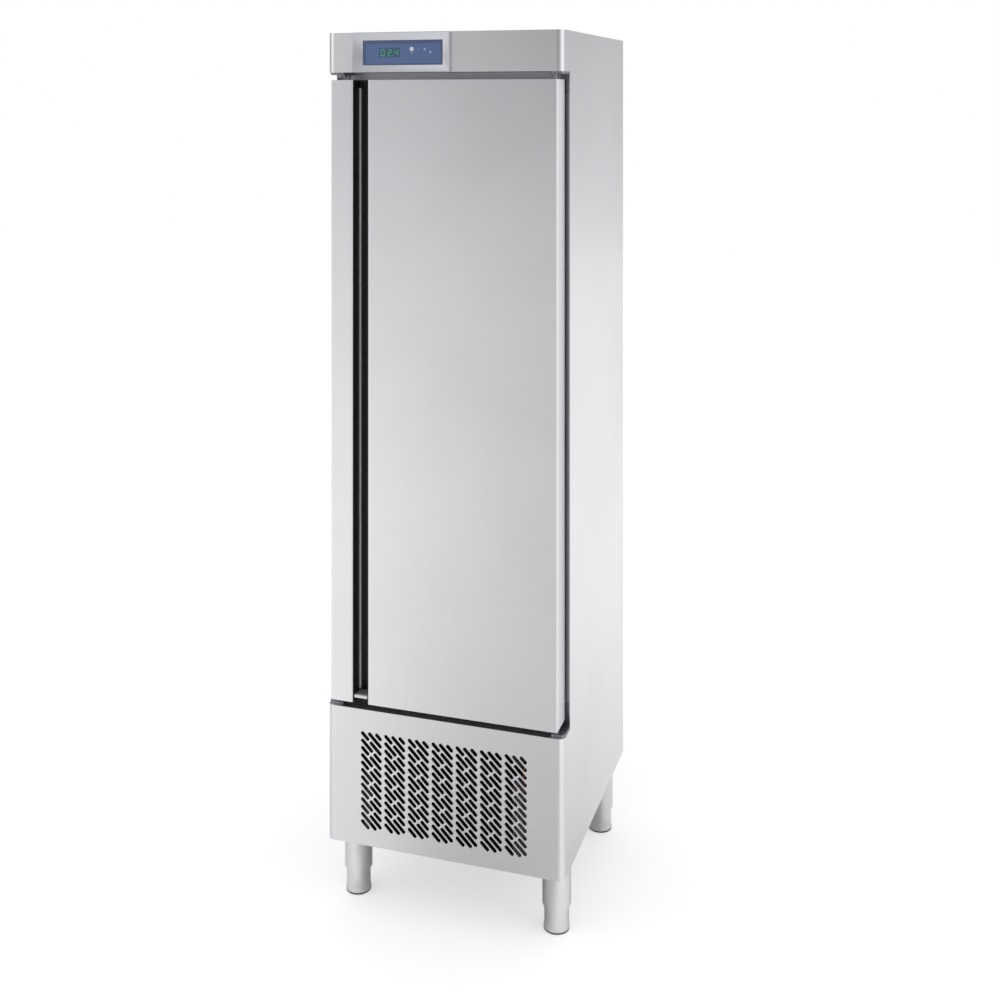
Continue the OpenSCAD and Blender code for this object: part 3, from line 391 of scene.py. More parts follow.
MOULDED_GRAIN = build_moulded_grain()
print("group:", MOULDED_GRAIN.name)


# %% [markdown]
# ## Finishes
#
# Each kind of finish is one short function. A metal takes its tone from the room, with the lines and
# smears from the groups above. Plastics, rubber and print get a fine moulded grain. The bezel's
# metallic paint and the channel's bright trim lie between the two.

# %% Start a finish
FINISHES = {}


def start_finish(name):
    FINISHES[name] = bpy.data.materials.new(name)
    FINISHES[name].use_nodes = True
    tree = FINISHES[name].node_tree
    return tree, tree.nodes["Principled BSDF"]


def place_group(tree, group, **values):
    node = add(tree, "ShaderNodeGroup", node_tree=group)
    for title, value in values.items():
        node.inputs[title.replace("_", " ")].default_value = value
    return node


def surface(name, color, metallic, grain_group, smear_scale, smear, **grain_values):
    """A finish with a grain, and with smears over its colour."""
    tree, shader = start_finish(name)
    grain = place_group(tree, grain_group, **grain_values)
    smears = place_group(tree, SMEARS, Color=(*color, 1.0), Scale=smear_scale, Amount=smear)
    tree.links.new(smears.outputs["Color"], shader.inputs["Base Color"])
    tree.links.new(grain.outputs["Roughness"], shader.inputs["Roughness"])
    tree.links.new(grain.outputs["Normal"], shader.inputs["Normal"])
    shader.inputs["Metallic"].default_value = metallic
    return shader


# %% Metals
def metal(name, color, roughness, stretch, change=0.06, depth=0.08, smear=0.05, smear_scale=3.0,
          metallic=1.0):
    surface(name, color, metallic, BRUSHED_LINES, smear_scale, smear, Stretch=stretch,
            Roughness=roughness, Roughness_Change=change, Depth=depth)


UPRIGHT_GRAIN = (700.0, 700.0, 5.0)
LEVEL_GRAIN = (5.0, 700.0, 700.0)
TURNED_GRAIN = (60.0, 60.0, 1200.0)
FINE_GRAIN = (400.0, 400.0, 400.0)

metal("cabinet_steel", (0.80, 0.80, 0.815), 0.32, UPRIGHT_GRAIN, change=0.02, depth=0.01)
metal("door_steel", (0.83, 0.83, 0.85), 0.28, UPRIGHT_GRAIN, change=0.02, depth=0.01)
# Painted shade: a darker steel for the front frame, which sits in shade behind the door and the fascia.
metal("frame_steel_painted_shade", (0.48, 0.495, 0.525), 0.4, LEVEL_GRAIN, depth=0.02)
metal("inner_steel", (0.78, 0.79, 0.80), 0.40, UPRIGHT_GRAIN)
metal("zinc_steel", (0.62, 0.64, 0.66), 0.48, FINE_GRAIN, smear=0.25, smear_scale=40.0)
metal("leg_steel", (0.78, 0.785, 0.80), 0.20, TURNED_GRAIN)
metal("hinge_steel", (0.30, 0.31, 0.33), 0.42, FINE_GRAIN)
metal("wire_chrome", (0.80, 0.81, 0.83), 0.16, FINE_GRAIN, depth=0.02)
metal("fin_aluminium", (0.74, 0.75, 0.77), 0.38, FINE_GRAIN)
metal("bright_steel", (0.85, 0.85, 0.87), 0.5, UPRIGHT_GRAIN, metallic=0.3)
metal("pipe_copper", (0.42, 0.21, 0.12), 0.34, FINE_GRAIN, smear=0.3, smear_scale=25.0)
print("metals:", len(FINISHES))


# %% Plastics, rubber, paint, print and foam
MOULDED_SMEAR_SCALE = 6.0
COAT_ROUGHNESS = 0.12


def moulded(name, color, roughness, scale=900.0, depth=0.15, change=0.08, smear=0.08, coat=0.0,
            metallic=0.0):
    shader = surface(name, color, metallic, MOULDED_GRAIN, MOULDED_SMEAR_SCALE, smear, Scale=scale,
                     Depth=depth, Roughness=roughness, Roughness_Change=change)
    shader.inputs["Coat Weight"].default_value = coat
    shader.inputs["Coat Roughness"].default_value = COAT_ROUGHNESS


moulded("bezel_plastic", (0.65, 0.66, 0.70), 0.3, depth=0.02, change=0.02, smear=0.02, metallic=0.75,
        coat=0.3)
moulded("window_blue", (0.085, 0.145, 0.31), 0.26, depth=0.03, coat=0.5)
moulded("case_plastic", (0.03, 0.03, 0.033), 0.5)
moulded("key_white", (0.82, 0.88, 0.95), 0.35, depth=0.05)
moulded("key_blue", (0.12, 0.19, 0.37), 0.32, depth=0.05)
moulded("foam", (0.78, 0.66, 0.36), 0.85, scale=160.0, depth=0.6)
moulded("motor_paint", (0.028, 0.028, 0.03), 0.35, scale=260.0, depth=0.2, coat=0.3)
moulded("fan_plastic", (0.05, 0.05, 0.055), 0.45)
moulded("gasket_rubber", (0.016, 0.0165, 0.019), 0.62, scale=500.0, depth=0.2)
moulded("channel_black", (0.006, 0.006, 0.007), 0.42, depth=0.05)
moulded("bush_nylon", (0.75, 0.75, 0.72), 0.45)
moulded("mount_rubber", (0.02, 0.02, 0.02), 0.75, scale=400.0, depth=0.3)
moulded("pad_plastic", (0.015, 0.015, 0.017), 0.5)
# Painted shade: a near-black for the condenser, for the dark compartment seen through the grille.
moulded("fin_painted_shade", (0.012, 0.012, 0.013), 0.5)
# Painted shade: the darker band that the bezel's recess throws on the window's edges.
moulded("rim_painted_shade", (0.062, 0.095, 0.20), 0.3, depth=0.02, coat=0.5)
moulded("display_dark", (0.045, 0.085, 0.16), 0.2, depth=0.0, coat=0.6)
moulded("sign_print", (0.05, 0.08, 0.16), 0.4, depth=0.02)
moulded("sign_light", (0.55, 0.66, 0.85), 0.4, depth=0.02)
# Painted light: a pale matt finish for the door's upright edges, which catch more light than its front.
moulded("edge_painted_light", (0.94, 0.95, 0.97), 0.35, depth=0.02, smear=0.02, coat=0.3)
# Grey for the pull's lower cap block, and painted shade on the door's underside over the gap below it.
moulded("cap_grey_and_painted_shade", (0.26, 0.265, 0.28), 0.5)
# Grey for a printed stroke and for a painted shadow below the power key.
moulded("shadow_and_stroke_grey", (0.24, 0.28, 0.36), 0.4, depth=0.02)
print("with the moulded ones:", len(FINISHES))


# %% The display's glow
def glowing(name, color, strength):
    tree, shader = start_finish(name)
    smears = place_group(tree, SMEARS, Color=(*color, 1.0), Scale=60.0, Amount=0.1)
    tree.links.new(smears.outputs["Color"], shader.inputs["Base Color"])
    tree.links.new(smears.outputs["Color"], shader.inputs["Emission Color"])
    shader.inputs["Emission Strength"].default_value = strength
    shader.inputs["Roughness"].default_value = 0.4


glowing("digit_green", (0.045, 0.25, 0.15), 0.45)
print("finishes:", len(FINISHES))

# %% [markdown]
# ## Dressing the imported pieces
#
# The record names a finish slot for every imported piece. One loop hands each piece its material, so
# that nothing stays bare, and the pieces that need more shape get it further down.

# %% Hand out the finishes
slots = {part["node"]: part["material_slot"] for part in frame["record"]["subparts"]}
for name, piece in frame["nodes"].items():
    piece.data.materials.clear()
    piece.data.materials.append(FINISHES[slots[name]])
# The front frame takes the darker steel as painted shade.
frame["nodes"]["front_frame"].data.materials[0] = FINISHES["frame_steel_painted_shade"]
# The condenser takes the near-black as painted shade.
frame["nodes"]["condenser_coil"].data.materials[0] = FINISHES["fin_painted_shade"]
print("dressed:", len(slots))

# %% [markdown]
# ## Shaping tools
#
# The construction has sharp edges, because it only fixes the sizes. Real sheet is folded round a
# tool and real plastic is moulded with radii, and such edges catch the light. Most pieces below are
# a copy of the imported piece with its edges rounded, and the others are turned, swept or drawn.


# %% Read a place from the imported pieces
def side(node, which, axis):
    """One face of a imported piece's box in metres: which is 0 for low and 1 for high."""
    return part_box(node)[which]["xyz".index(axis)]


def middle(node):
    """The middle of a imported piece's box."""
    return Vector([(a + b) / 2 for a, b in zip(*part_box(node))])


def copy_of(node):
    """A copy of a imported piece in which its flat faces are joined."""
    shape = bmesh.new()
    shape.from_mesh(frame["nodes"][node].data)
    bmesh.ops.remove_doubles(shape, verts=shape.verts, dist=mm(0.01))
    bmesh.ops.dissolve_limit(shape, angle_limit=math.radians(1.0), verts=shape.verts, edges=shape.edges)
    return shape


# %% Round the edges of a shape
def round_edges(shape, radius, segments=2, wanted=None, sharper=30.0):
    limit = math.radians(sharper)
    edges = [edge for edge in shape.edges if len(edge.link_faces) == 2
             and edge.calc_face_angle(0.0) > limit and (wanted is None or wanted(edge))]
    bmesh.ops.bevel(shape, geom=edges, offset=radius, offset_type="OFFSET", segments=segments, profile=0.5,
                    affect="EDGES", clamp_overlap=True)
    return shape


def lies_at(edge, axis, place):
    """True where both ends of the edge lie in one plane across the axis."""
    return all(abs(vert.co["xyz".index(axis)] - place) < mm(0.05) for vert in edge.verts)


# %% Even out the shading
def soften_normals(mesh, limit=50.0):
    """Corner normals weighted by area: flat sheet stays flat and only its rounded edges shade."""
    least = math.cos(math.radians(limit))
    faces = [(face.normal.copy(), face.area) for face in mesh.polygons]
    around = [[] for _ in mesh.vertices]
    for face in mesh.polygons:
        for index in face.vertices:
            around[index].append(face.index)
    normals = []
    for face in mesh.polygons:
        own = faces[face.index][0]
        for index in face.vertices:
            near = [faces[other] for other in around[index]]
            total = sum((normal * area for normal, area in near if normal.dot(own) > least), Vector())
            normals.append(total.normalized() if total.length > 0.0 else own)
    mesh.normals_split_custom_set(normals)


# %% Put a shape on show
def show(name, shape, finish, body, *nodes):
    """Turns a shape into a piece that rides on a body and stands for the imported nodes."""
    bmesh.ops.recalc_face_normals(shape, faces=shape.faces)
    mesh = bpy.data.meshes.new(name)
    shape.to_mesh(mesh)
    shape.free()
    mesh.polygons.foreach_set("use_smooth", [True] * len(mesh.polygons))
    mesh.update()
    soften_normals(mesh)
    mesh.materials.append(FINISHES[finish])
    piece = bpy.data.objects.new(name, mesh)
    bpy.context.collection.objects.link(piece)
    if nodes:
        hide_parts(*nodes)
    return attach(piece, body)


def softened(node, body, radius, segments=2, wanted=None):
    """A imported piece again, with its edges rounded."""
    shape = round_edges(copy_of(node), radius, segments, wanted)
    return show(node + "_shaped", shape, slots[node], body, node)


# %% Turn, draw and sweep
def turned(profile, place, sides=64, shape=None):
    """A turned solid round the vertical through place. The profile holds (radius, height) points."""
    shape = shape or bmesh.new()
    rings = []
    for radius, height in profile:
        if radius < mm(0.001):
            rings.append([shape.verts.new(place + Vector((0.0, 0.0, height)))])
            continue
        angles = [2.0 * math.pi * i / sides for i in range(sides)]
        rings.append([shape.verts.new(place + Vector((radius * math.cos(a), radius * math.sin(a), height)))
                      for a in angles])
    for lower, upper in zip(rings, rings[1:]):
        for i in range(sides):
            corners = [lower[i % len(lower)], lower[(i + 1) % len(lower)], upper[(i + 1) % len(upper)],
                       upper[i % len(upper)]]
            unique = list(dict.fromkeys(corners))
            if len(unique) > 2:
                shape.faces.new(unique)
    return shape


def arc(centre, radius, start, end, steps=6):
    """Points on an arc from one angle to another, in degrees."""
    angles = [math.radians(start + (end - start) * i / steps) for i in range(steps + 1)]
    return [(centre[0] + radius * math.cos(a), centre[1] + radius * math.sin(a)) for a in angles]


def prism(first_end, second_end):
    """A solid between two outlines with the same number of points."""
    shape = bmesh.new()
    lower = [shape.verts.new(point) for point in first_end]
    upper = [shape.verts.new(point) for point in second_end]
    shape.faces.new(lower)
    shape.faces.new(upper)
    for i in range(len(lower)):
        j = (i + 1) % len(lower)
        shape.faces.new((lower[i], lower[j], upper[j], upper[i]))
    return shape


def drawn_up(outline, low, high):
    """A solid with one plan outline of (x, y) points from a low to a high level."""
    return prism([(x, y, low) for x, y in outline], [(x, y, high) for x, y in outline])


def joined_rings(shape, rings):
    """Faces between each ring of points and the next one."""
    for first, second in zip(rings, rings[1:]):
        for k in range(len(first)):
            m = (k + 1) % len(first)
            shape.faces.new((first[k], first[m], second[m], second[k]))
    return shape


def merged(shape, one):
    """Adds one shape to another and returns both as one."""
    loose = bpy.data.meshes.new("loose")
    one.to_mesh(loose)
    one.free()
    shape.from_mesh(loose)
    bpy.data.meshes.remove(loose)
    return shape


def brick(low, high, radius, segments=2, shape=None):
    """A block between two corners with all its edges rounded."""
    one = bmesh.new()
    bmesh.ops.create_cube(one, size=1.0)
    for vert in one.verts:
        vert.co = Vector([a + (b - a) * (c + 0.5) for a, b, c in zip(low, high, vert.co)])
    round_edges(one, radius, segments)
    return one if shape is None else merged(shape, one)


def swept_tube(shape, points, radius, sides=10, closed=False):
    """A round wire through points that lie in one vertical plane across Y."""
    rings = []
    count = len(points)
    for i, point in enumerate(points):
        before = points[(i - 1) % count] if closed or i > 0 else point
        after = points[(i + 1) % count] if closed or i < count - 1 else point
        along = (after - before).normalized()
        across = Vector((0.0, 1.0, 0.0))
        third = along.cross(across).normalized()
        angles = [2.0 * math.pi * k / sides for k in range(sides)]
        rings.append([shape.verts.new(point + radius * (math.cos(a) * across + math.sin(a) * third))
                      for a in angles])
    joined_rings(shape, rings + (rings[:1] if closed else []))
    if not closed:
        shape.faces.new(rings[0])
        shape.faces.new(rings[-1])
    return shape


# %% [markdown]
# ## Door
#
# The door leaf is a folded steel pan round foam. Its outer edges are folded tightly, and the sheet
# turns into the pull's channel with a softer bend, which shows as a bright line along the channel.
# We draw the leaf's plan once, with an arc at each fold, and draw it up over the door's height. The
# leaf's upright edges get a pale matt finish that is painted light, for the light that they catch from
# the right, and its underside gets a darker grey that is painted shade over the gap below the door.

# %% Door leaf
(door_left, door_front, door_low_z), (door_right, door_back, door_high_z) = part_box("door_skin")
(channel_left, _, _), (channel_right, channel_back, _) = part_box("handle_channel")
EDGE_FOLD = mm(2.0)
LIP_FOLD = mm(4.5)
BACK_SEAM = mm(0.4)
FACING = 0.9


def door_leaf():
    back = door_back - BACK_SEAM
    outline = [(door_left, back)]
    outline += arc((door_left + EDGE_FOLD, door_front + EDGE_FOLD), EDGE_FOLD, 180, 270)
    outline += arc((channel_left - EDGE_FOLD, door_front + EDGE_FOLD), EDGE_FOLD, 270, 360)
    outline += [(channel_left, channel_back), (channel_right, channel_back)]
    outline += arc((channel_right + LIP_FOLD, door_front + LIP_FOLD), LIP_FOLD, 180, 270, 8)
    outline += arc((door_right - EDGE_FOLD, door_front + EDGE_FOLD), EDGE_FOLD, 270, 360)
    outline += [(door_right, back)]
    shape = drawn_up(outline, door_low_z, door_high_z)
    ends = (door_low_z, door_high_z)
    round_edges(shape, mm(1.5), 3, lambda edge: any(lies_at(edge, "z", z) for z in ends)
                and max(v.co.y for v in edge.verts) < door_front + mm(6.0))
    return shape


leaf = show("door_leaf", door_leaf(), "door_steel", "door", "door_skin", "door_foam")
for finish in ("edge_painted_light", "cap_grey_and_painted_shade"):
    leaf.data.materials.append(FINISHES[finish])
# The upright edges take the painted light, and the faces that look down take the painted shade.
for face in leaf.data.polygons:
    if abs(face.normal.x) > FACING and abs(face.center.x) > door_right - mm(0.1):
        face.material_index = 1
    elif face.normal.z < -FACING:
        face.material_index = 2
print("door leaf:", [round(v * 1000, 1) for v in (door_left, door_right, door_low_z, door_high_z)])

# %% [markdown]
# The pull is a channel of black plastic that the fingers reach into. It has rounded inner corners so
# that it wipes clean, and its front edges stay behind the steel's folds. The bright strip stands in
# the corner, and a cap closes each end.

# %% Pull channel, strip and caps
CHANNEL_WALL = mm(2.0)
CHANNEL_CORNER = mm(3.0)
CAP_H, CAP_WEB, LIP_DEPTH, LIP_REACH = mm(15.0), mm(9.0), mm(7.0), mm(22.0)
UPPER_CAP_H = mm(4.0)


def pull_channel():
    inner_left, inner_right = channel_left + CHANNEL_WALL, channel_right - CHANNEL_WALL
    inner_back = channel_back - CHANNEL_WALL
    left_end, right_end = door_front + EDGE_FOLD, door_front + LIP_FOLD
    outline = [(channel_left, left_end), (channel_left, channel_back), (channel_right, channel_back),
               (channel_right, right_end), (inner_right, right_end + mm(0.6))]
    outline += arc((inner_right - CHANNEL_CORNER, inner_back - CHANNEL_CORNER), CHANNEL_CORNER, 0, 90)
    outline += arc((inner_left + CHANNEL_CORNER, inner_back - CHANNEL_CORNER), CHANNEL_CORNER, 90, 180)
    outline += [(inner_left, left_end + mm(0.6))]
    return drawn_up(outline, door_low_z, door_high_z)


def channel_caps():
    """The lower cap is a steel lip before a dark block, and the upper one a thin dark plate."""
    left, right = channel_left + CHANNEL_WALL, channel_right - CHANNEL_WALL
    (_, front, low), (_, back, high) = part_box("channel_caps")
    lip = brick((left, front, low + CAP_WEB), (right, front + LIP_DEPTH, low + CAP_H), mm(1.2))
    show("channel_cap_lip", lip, "bright_steel", "door", "channel_caps")
    block = brick((left, front + LIP_REACH, low), (right, back, low + CAP_WEB), mm(0.6))
    brick((left, front + LIP_DEPTH, low + CAP_WEB - mm(1.0)), (right, back, low + CAP_H - mm(1.0)),
          mm(0.4), 1, block)
    show("channel_cap_block", block, "cap_grey_and_painted_shade", "door")
    upper = brick((left, front + LIP_REACH, high - UPPER_CAP_H), (right, back, high), mm(1.2))
    show("channel_cap_upper", upper, "channel_black", "door")


show("pull_channel", pull_channel(), "channel_black", "door", "handle_channel")
softened("handle_strip", "door", mm(0.8))
channel_caps()
print("channel width:", round((channel_right - channel_left) * 1000, 1))

# %% [markdown]
# The inner panel has a pressed field that stiffens it. The gasket is an extruded rubber profile: a
# foot that snaps into the door, a bellows, and a magnetic bulb that closes on the front frame. We
# draw its section and lead it round the door, mitred at the corners.

# %% Inner panel and gasket
GASKET_SECTION = [(-4.0, 0.0), (4.0, 0.0), (4.0, 3.0), (2.6, 4.0), (6.2, 4.4), (7.5, 5.4), (7.5, 7.0),
                  (6.2, 7.7), (7.5, 8.4), (7.5, 10.7), (6.6, 11.6), (-6.6, 11.6), (-7.5, 10.7),
                  (-7.5, 8.4), (-6.2, 7.7), (-7.5, 7.0), (-7.5, 5.4), (-6.2, 4.4), (-2.6, 4.0), (-4.0, 3.0)]
GASKET_HALF_WIDTH = mm(7.5)


def gasket_ring():
    shape = bmesh.new()
    (left, back, low), (right, front, high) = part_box("door_gasket")
    corners = [(left, low, -1, -1), (right, low, 1, -1), (right, high, 1, 1), (left, high, -1, 1)]
    rings = []
    for x, z, outward_x, outward_z in corners:
        centre_x = x - outward_x * GASKET_HALF_WIDTH
        centre_z = z - outward_z * GASKET_HALF_WIDTH
        rings.append([shape.verts.new((centre_x + outward_x * mm(u), door_back + mm(w),
                                       centre_z + outward_z * mm(u))) for u, w in GASKET_SECTION])
    return joined_rings(shape, rings + rings[:1])


show("gasket_profile", gasket_ring(), "gasket_rubber", "door", "door_gasket")
press_y = side("door_inner_panel", 1, "y")
softened("door_inner_panel", "door", mm(2.5), 3, lambda edge: lies_at(edge, "y", press_y))
print("gasket section points:", len(GASKET_SECTION))

# %% [markdown]
# ## Cabinet
#
# The side panels, the fascia and the lower front panel are folded sheet as well. The fascia's and
# the lower panel's edges next to the door are folded back, so they get a small radius too.

# %% Fascia and lower panel
fascia_front = side("fascia", 0, "y")
FOLD = mm(0.8)


def front_edge(edge):
    return lies_at(edge, "y", fascia_front) and abs(edge.verts[0].co.z - edge.verts[1].co.z) < mm(0.01)


softened("fascia", "cabinet", FOLD, 3,
         lambda edge: front_edge(edge) and any(lies_at(edge, "z", side("fascia", i, "z")) for i in (0, 1)))
softened("lower_front_panel", "cabinet", mm(0.4), 2,
         lambda edge: front_edge(edge) and any(lies_at(edge, "z", side("lower_front_panel", i, "z"))
                                               for i in (0, 1)))
print("fascia front at", round(fascia_front * 1000, 1))

# %% [markdown]
# The control bezel is one plastic dish: inside a narrow rim its margins slope in to the window. So
# its left margin turns to the calm front of the room and looks darker, and the right one looks paler.

# %% Bezel and window
softened("control_bezel", "cabinet", mm(0.9))
(window_left, window_front, window_low), (window_right, _, window_high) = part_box("control_window")
softened("control_window", "cabinet", mm(0.25), 1, lambda edge: lies_at(edge, "y", window_front))
FILM = mm(0.15)


def print_on(shape, low_x, low_z, high_x, high_z):
    """A thin printed field on the window's face."""
    brick((low_x, window_front - FILM, low_z), (high_x, window_front, high_z), mm(0.05), 1, shape)


def window_rim_shade():
    """Painted shade of the bezel's recess on the window's edges: wide at the top and the left, narrow at the
    right and below.
    """
    shape = bmesh.new()
    top, left, right, foot = mm(7.0), mm(7.0), mm(3.5), mm(2.5)
    print_on(shape, window_left, window_high - top, window_right, window_high)
    print_on(shape, window_left, window_low, window_right, window_low + foot)
    print_on(shape, window_left, window_low + foot, window_left + left, window_high - top)
    print_on(shape, window_right - right, window_low + foot, window_right, window_high - top)
    return shape


def print_marks(name, finish, fields):
    """Printed fields by their middles and sizes, in millimetres."""
    shape = bmesh.new()
    for x, z, width, height in fields:
        print_on(shape, mm(x - width / 2), mm(z - height / 2), mm(x + width / 2), mm(z + height / 2))
    show(name, shape, finish, "cabinet")


# The window's rim is painted shade from the bezel's recess.
show("window_rim_shade", window_rim_shade(), "rim_painted_shade", "cabinet")
print_marks("lamp_marks", "sign_print", [(-71.5, 1848.5, 2.2, 3.4), (-64.0, 1848.5, 2.2, 3.4)])
# The first field is a painted shadow below the power key; the second is a thin printed stroke.
print_marks("key_shadow_and_stroke", "shadow_and_stroke_grey", [(-68.0, 1831.0, 6.0, 3.0), (-53.0, 1839.0, 1.2, 4.5)])
print("window:", round((window_right - window_left) * 1000), "x", round((window_high - window_low) * 1000))

# %% [markdown]
# The display is a dark filter with three seven-segment digits that glow green. The temperature that
# it shows is our own choice. Each digit lights some of its seven bars, and a dot stands before the
# last digit.

# %% Display
DISPLAY_LOW = Vector((mm(-142.0), 0.0, mm(1821.5)))
DISPLAY_HIGH = Vector((mm(-94.0), 0.0, mm(1841.0)))
DIGIT_W, DIGIT_H, DIGIT_STEP = mm(9.5), mm(15.0), mm(15.4)
BAR = mm(2.2)
BARS_OF = {"0": "abcdef", "2": "abged", "4": "fgbc"}
DISPLAY_SIDE, DISPLAY_FOOT, DOT_SHIFT = mm(3.8), mm(2.2), mm(4.2)


def digit_bars(shape, digit, x, z, face):
    half = BAR / 2
    mid = z + DIGIT_H / 2
    places = {"a": (x + half, x + DIGIT_W - half, z + DIGIT_H - BAR, z + DIGIT_H),
              "g": (x + half, x + DIGIT_W - half, mid - half, mid + half),
              "d": (x + half, x + DIGIT_W - half, z, z + BAR),
              "f": (x, x + BAR, mid + half / 2, z + DIGIT_H - half),
              "e": (x, x + BAR, z + half, mid - half / 2),
              "b": (x + DIGIT_W - BAR, x + DIGIT_W, mid + half / 2, z + DIGIT_H - half),
              "c": (x + DIGIT_W - BAR, x + DIGIT_W, z + half, mid - half / 2)}
    for bar in BARS_OF[digit]:
        x0, x1, z0, z1 = places[bar]
        brick((x0, face - FILM, z0), (x1, face, z1), mm(0.06), 1, shape)


def display():
    face = window_front - FILM
    filter_shape = brick((DISPLAY_LOW.x, face, DISPLAY_LOW.z),
                         (DISPLAY_HIGH.x, window_front, DISPLAY_HIGH.z), mm(0.06), 1)
    show("display_filter", filter_shape, "display_dark", "cabinet")
    glow = bmesh.new()
    first = DISPLAY_LOW.x + DISPLAY_SIDE
    low = DISPLAY_LOW.z + DISPLAY_FOOT
    for i, digit in enumerate("024"):
        digit_bars(glow, digit, first + i * DIGIT_STEP, low, face)
    dot = first + 2 * DIGIT_STEP - DOT_SHIFT
    brick((dot, face - FILM, low), (dot + BAR, face, low + BAR), mm(0.06), 1, glow)
    show("display_digits", glow, "digit_green", "cabinet")


display()
print("display width:", round((DISPLAY_HIGH.x - DISPLAY_LOW.x) * 1000))

# %% [markdown]
# Each key is a round button with a shallow dome and a printed sign: a ring with a bar for power, and
# an arrow each for warmer and colder. The sign rides on its key and sinks with it.

# %% Keys with their signs
KEY_DOME = mm(0.35)
ARROW_HALF, ARROW_TIP, SIGN_T = mm(2.2), mm(2.0), mm(0.6)
RING_R, RING_WIRE = mm(2.3), mm(0.3)


def key_button(node, body):
    (left, front, _), (right, back, _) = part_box(node)
    radius = (right - left) / 2
    centre = middle(node)
    profile = [(0.0, back), (radius, back), (radius, front + KEY_DOME + mm(0.3)),
               (radius - mm(0.25), front + KEY_DOME), (radius * 0.6, front + KEY_DOME * 0.3), (0.0, front)]
    shape = turned(profile, Vector(), 40)
    for vert in shape.verts:
        x, y, z = vert.co
        vert.co = Vector((centre.x + x, z, centre.z - y))
    show(node + "_button", shape, slots[node], body, node)
    return centre, front


def arrow_sign(centre, face, tip):
    """An arrow whose tip lies this far above the key's middle, or below it where tip is negative."""
    outline = [(-ARROW_HALF, -tip * 0.7), (ARROW_HALF, -tip * 0.7), (0.0, tip)]
    ends = [[(centre.x + x, plane, centre.z + z) for x, z in outline] for plane in (face, face + SIGN_T)]
    return prism(*ends)


def power_sign(centre, face):
    shape = bmesh.new()
    points = [Vector((centre.x + x, face + mm(0.2), centre.z + z))
              for x, z in arc((0, 0), RING_R, 125, 415, 20)]
    swept_tube(shape, points, RING_WIRE, 8)
    brick((centre.x - RING_WIRE, face - mm(0.1), centre.z + mm(0.6)),
          (centre.x + RING_WIRE, face + mm(0.5), centre.z + mm(3.2)), mm(0.1), 1, shape)
    return shape


centre, face = key_button("key_power", "power_key")
show("power_sign", power_sign(centre, face), "sign_print", "power_key")
for way, tip in (("up", ARROW_TIP), ("down", -ARROW_TIP)):
    centre, face = key_button("key_" + way, way + "_key")
    show(way + "_sign", arrow_sign(centre, face, tip), "sign_light", way + "_key")
print("key width:", round((side("key_up", 1, "x") - side("key_up", 0, "x")) * 1000, 1))

# %% [markdown]
# ## Hinges
#
# The brackets are cut from thick plate and tumbled, so their edges are soft. The blank one closes the
# unused hinge place on the left. The bushes are nylon and turn with the door on the brackets' pins.

# %% Brackets and bushes
BRACKETS = ("hinge_bracket_upper", "hinge_bracket_lower", "hinge_bracket_blank")
for node in BRACKETS:
    softened(node, "cabinet", mm(0.7))
softened("hinge_bushes", "door", mm(0.4))
print("hinge brackets:", len(BRACKETS))

# %% [markdown]
# ## Legs and feet
#
# Each leg is a turned tube with a closing disc and a stud on top. The foot screws in and out below
# it: a turned barrel that flares into its base, on a black plastic pad. We turn both from their
# half sections, which is how a lathe makes them.

# %% Legs
LEGS = ("front_left", "front_right", "rear_left", "rear_right")
tube_r = (side("leg_front_left", 1, "x") - side("leg_front_left", 0, "x")) / 2
tube_low = side("leg_front_left", 0, "z")
stud_top = side("leg_front_left", 1, "z")
pan_z = side("base_pan", 0, "z")
LEG_WALL = mm(3.0)


def foot_of(node):
    """The point on the floor below a piece's middle."""
    return Vector((*middle(node).xy, 0.0))


def leg_profile():
    inner = tube_r - LEG_WALL
    disc = pan_z - mm(4.0)
    insert_low, insert_high = pan_z - mm(50.0), pan_z - mm(40.0)
    bore, stud = mm(8.05), mm(6.0)
    return [(0.0, disc), (inner, disc), (inner, insert_high), (bore, insert_high), (bore, insert_low),
            (inner, insert_low), (inner, tube_low + mm(0.8)), (inner + mm(0.8), tube_low),
            (tube_r - mm(0.9), tube_low), (tube_r, tube_low + mm(0.9)), (tube_r, pan_z), (stud, pan_z),
            (stud, stud_top - mm(1.0)), (stud - mm(1.0), stud_top), (0.0, stud_top)]


for place in LEGS:
    node = "leg_" + place
    show(node + "_turned", turned(leg_profile(), foot_of(node)), "leg_steel", "cabinet", node)
print("leg tube:", round(tube_r * 2000), "mm across")

# %% Feet
foot_top = side("foot_front_left", 1, "z")
PAD_R, PAD_TOP = mm(27.5), mm(3.5)
BARREL_R, BARREL_TOP = mm(26.0), mm(80.0)
STEM_R, THREAD_PITCH, THREAD_DEPTH = mm(7.9), mm(3.0), mm(0.9)


def barrel_profile():
    points = [(0.0, PAD_TOP), (PAD_R - mm(0.6), PAD_TOP), (PAD_R, PAD_TOP + mm(0.6)), (PAD_R, mm(6.5)),
              (PAD_R - mm(0.5), mm(8.0)), (BARREL_R + mm(0.2), mm(13.0)), (BARREL_R, mm(17.0)),
              (BARREL_R, BARREL_TOP - mm(1.5)), (BARREL_R - mm(1.5), BARREL_TOP), (STEM_R, BARREL_TOP)]
    turns = int((foot_top - BARREL_TOP - mm(2.0)) / THREAD_PITCH)
    for i in range(turns):
        z = BARREL_TOP + mm(1.0) + i * THREAD_PITCH
        points += [(STEM_R - THREAD_DEPTH, z + THREAD_PITCH * 0.4), (STEM_R, z + THREAD_PITCH * 0.9)]
    return points + [(STEM_R - mm(1.5), foot_top), (0.0, foot_top)]


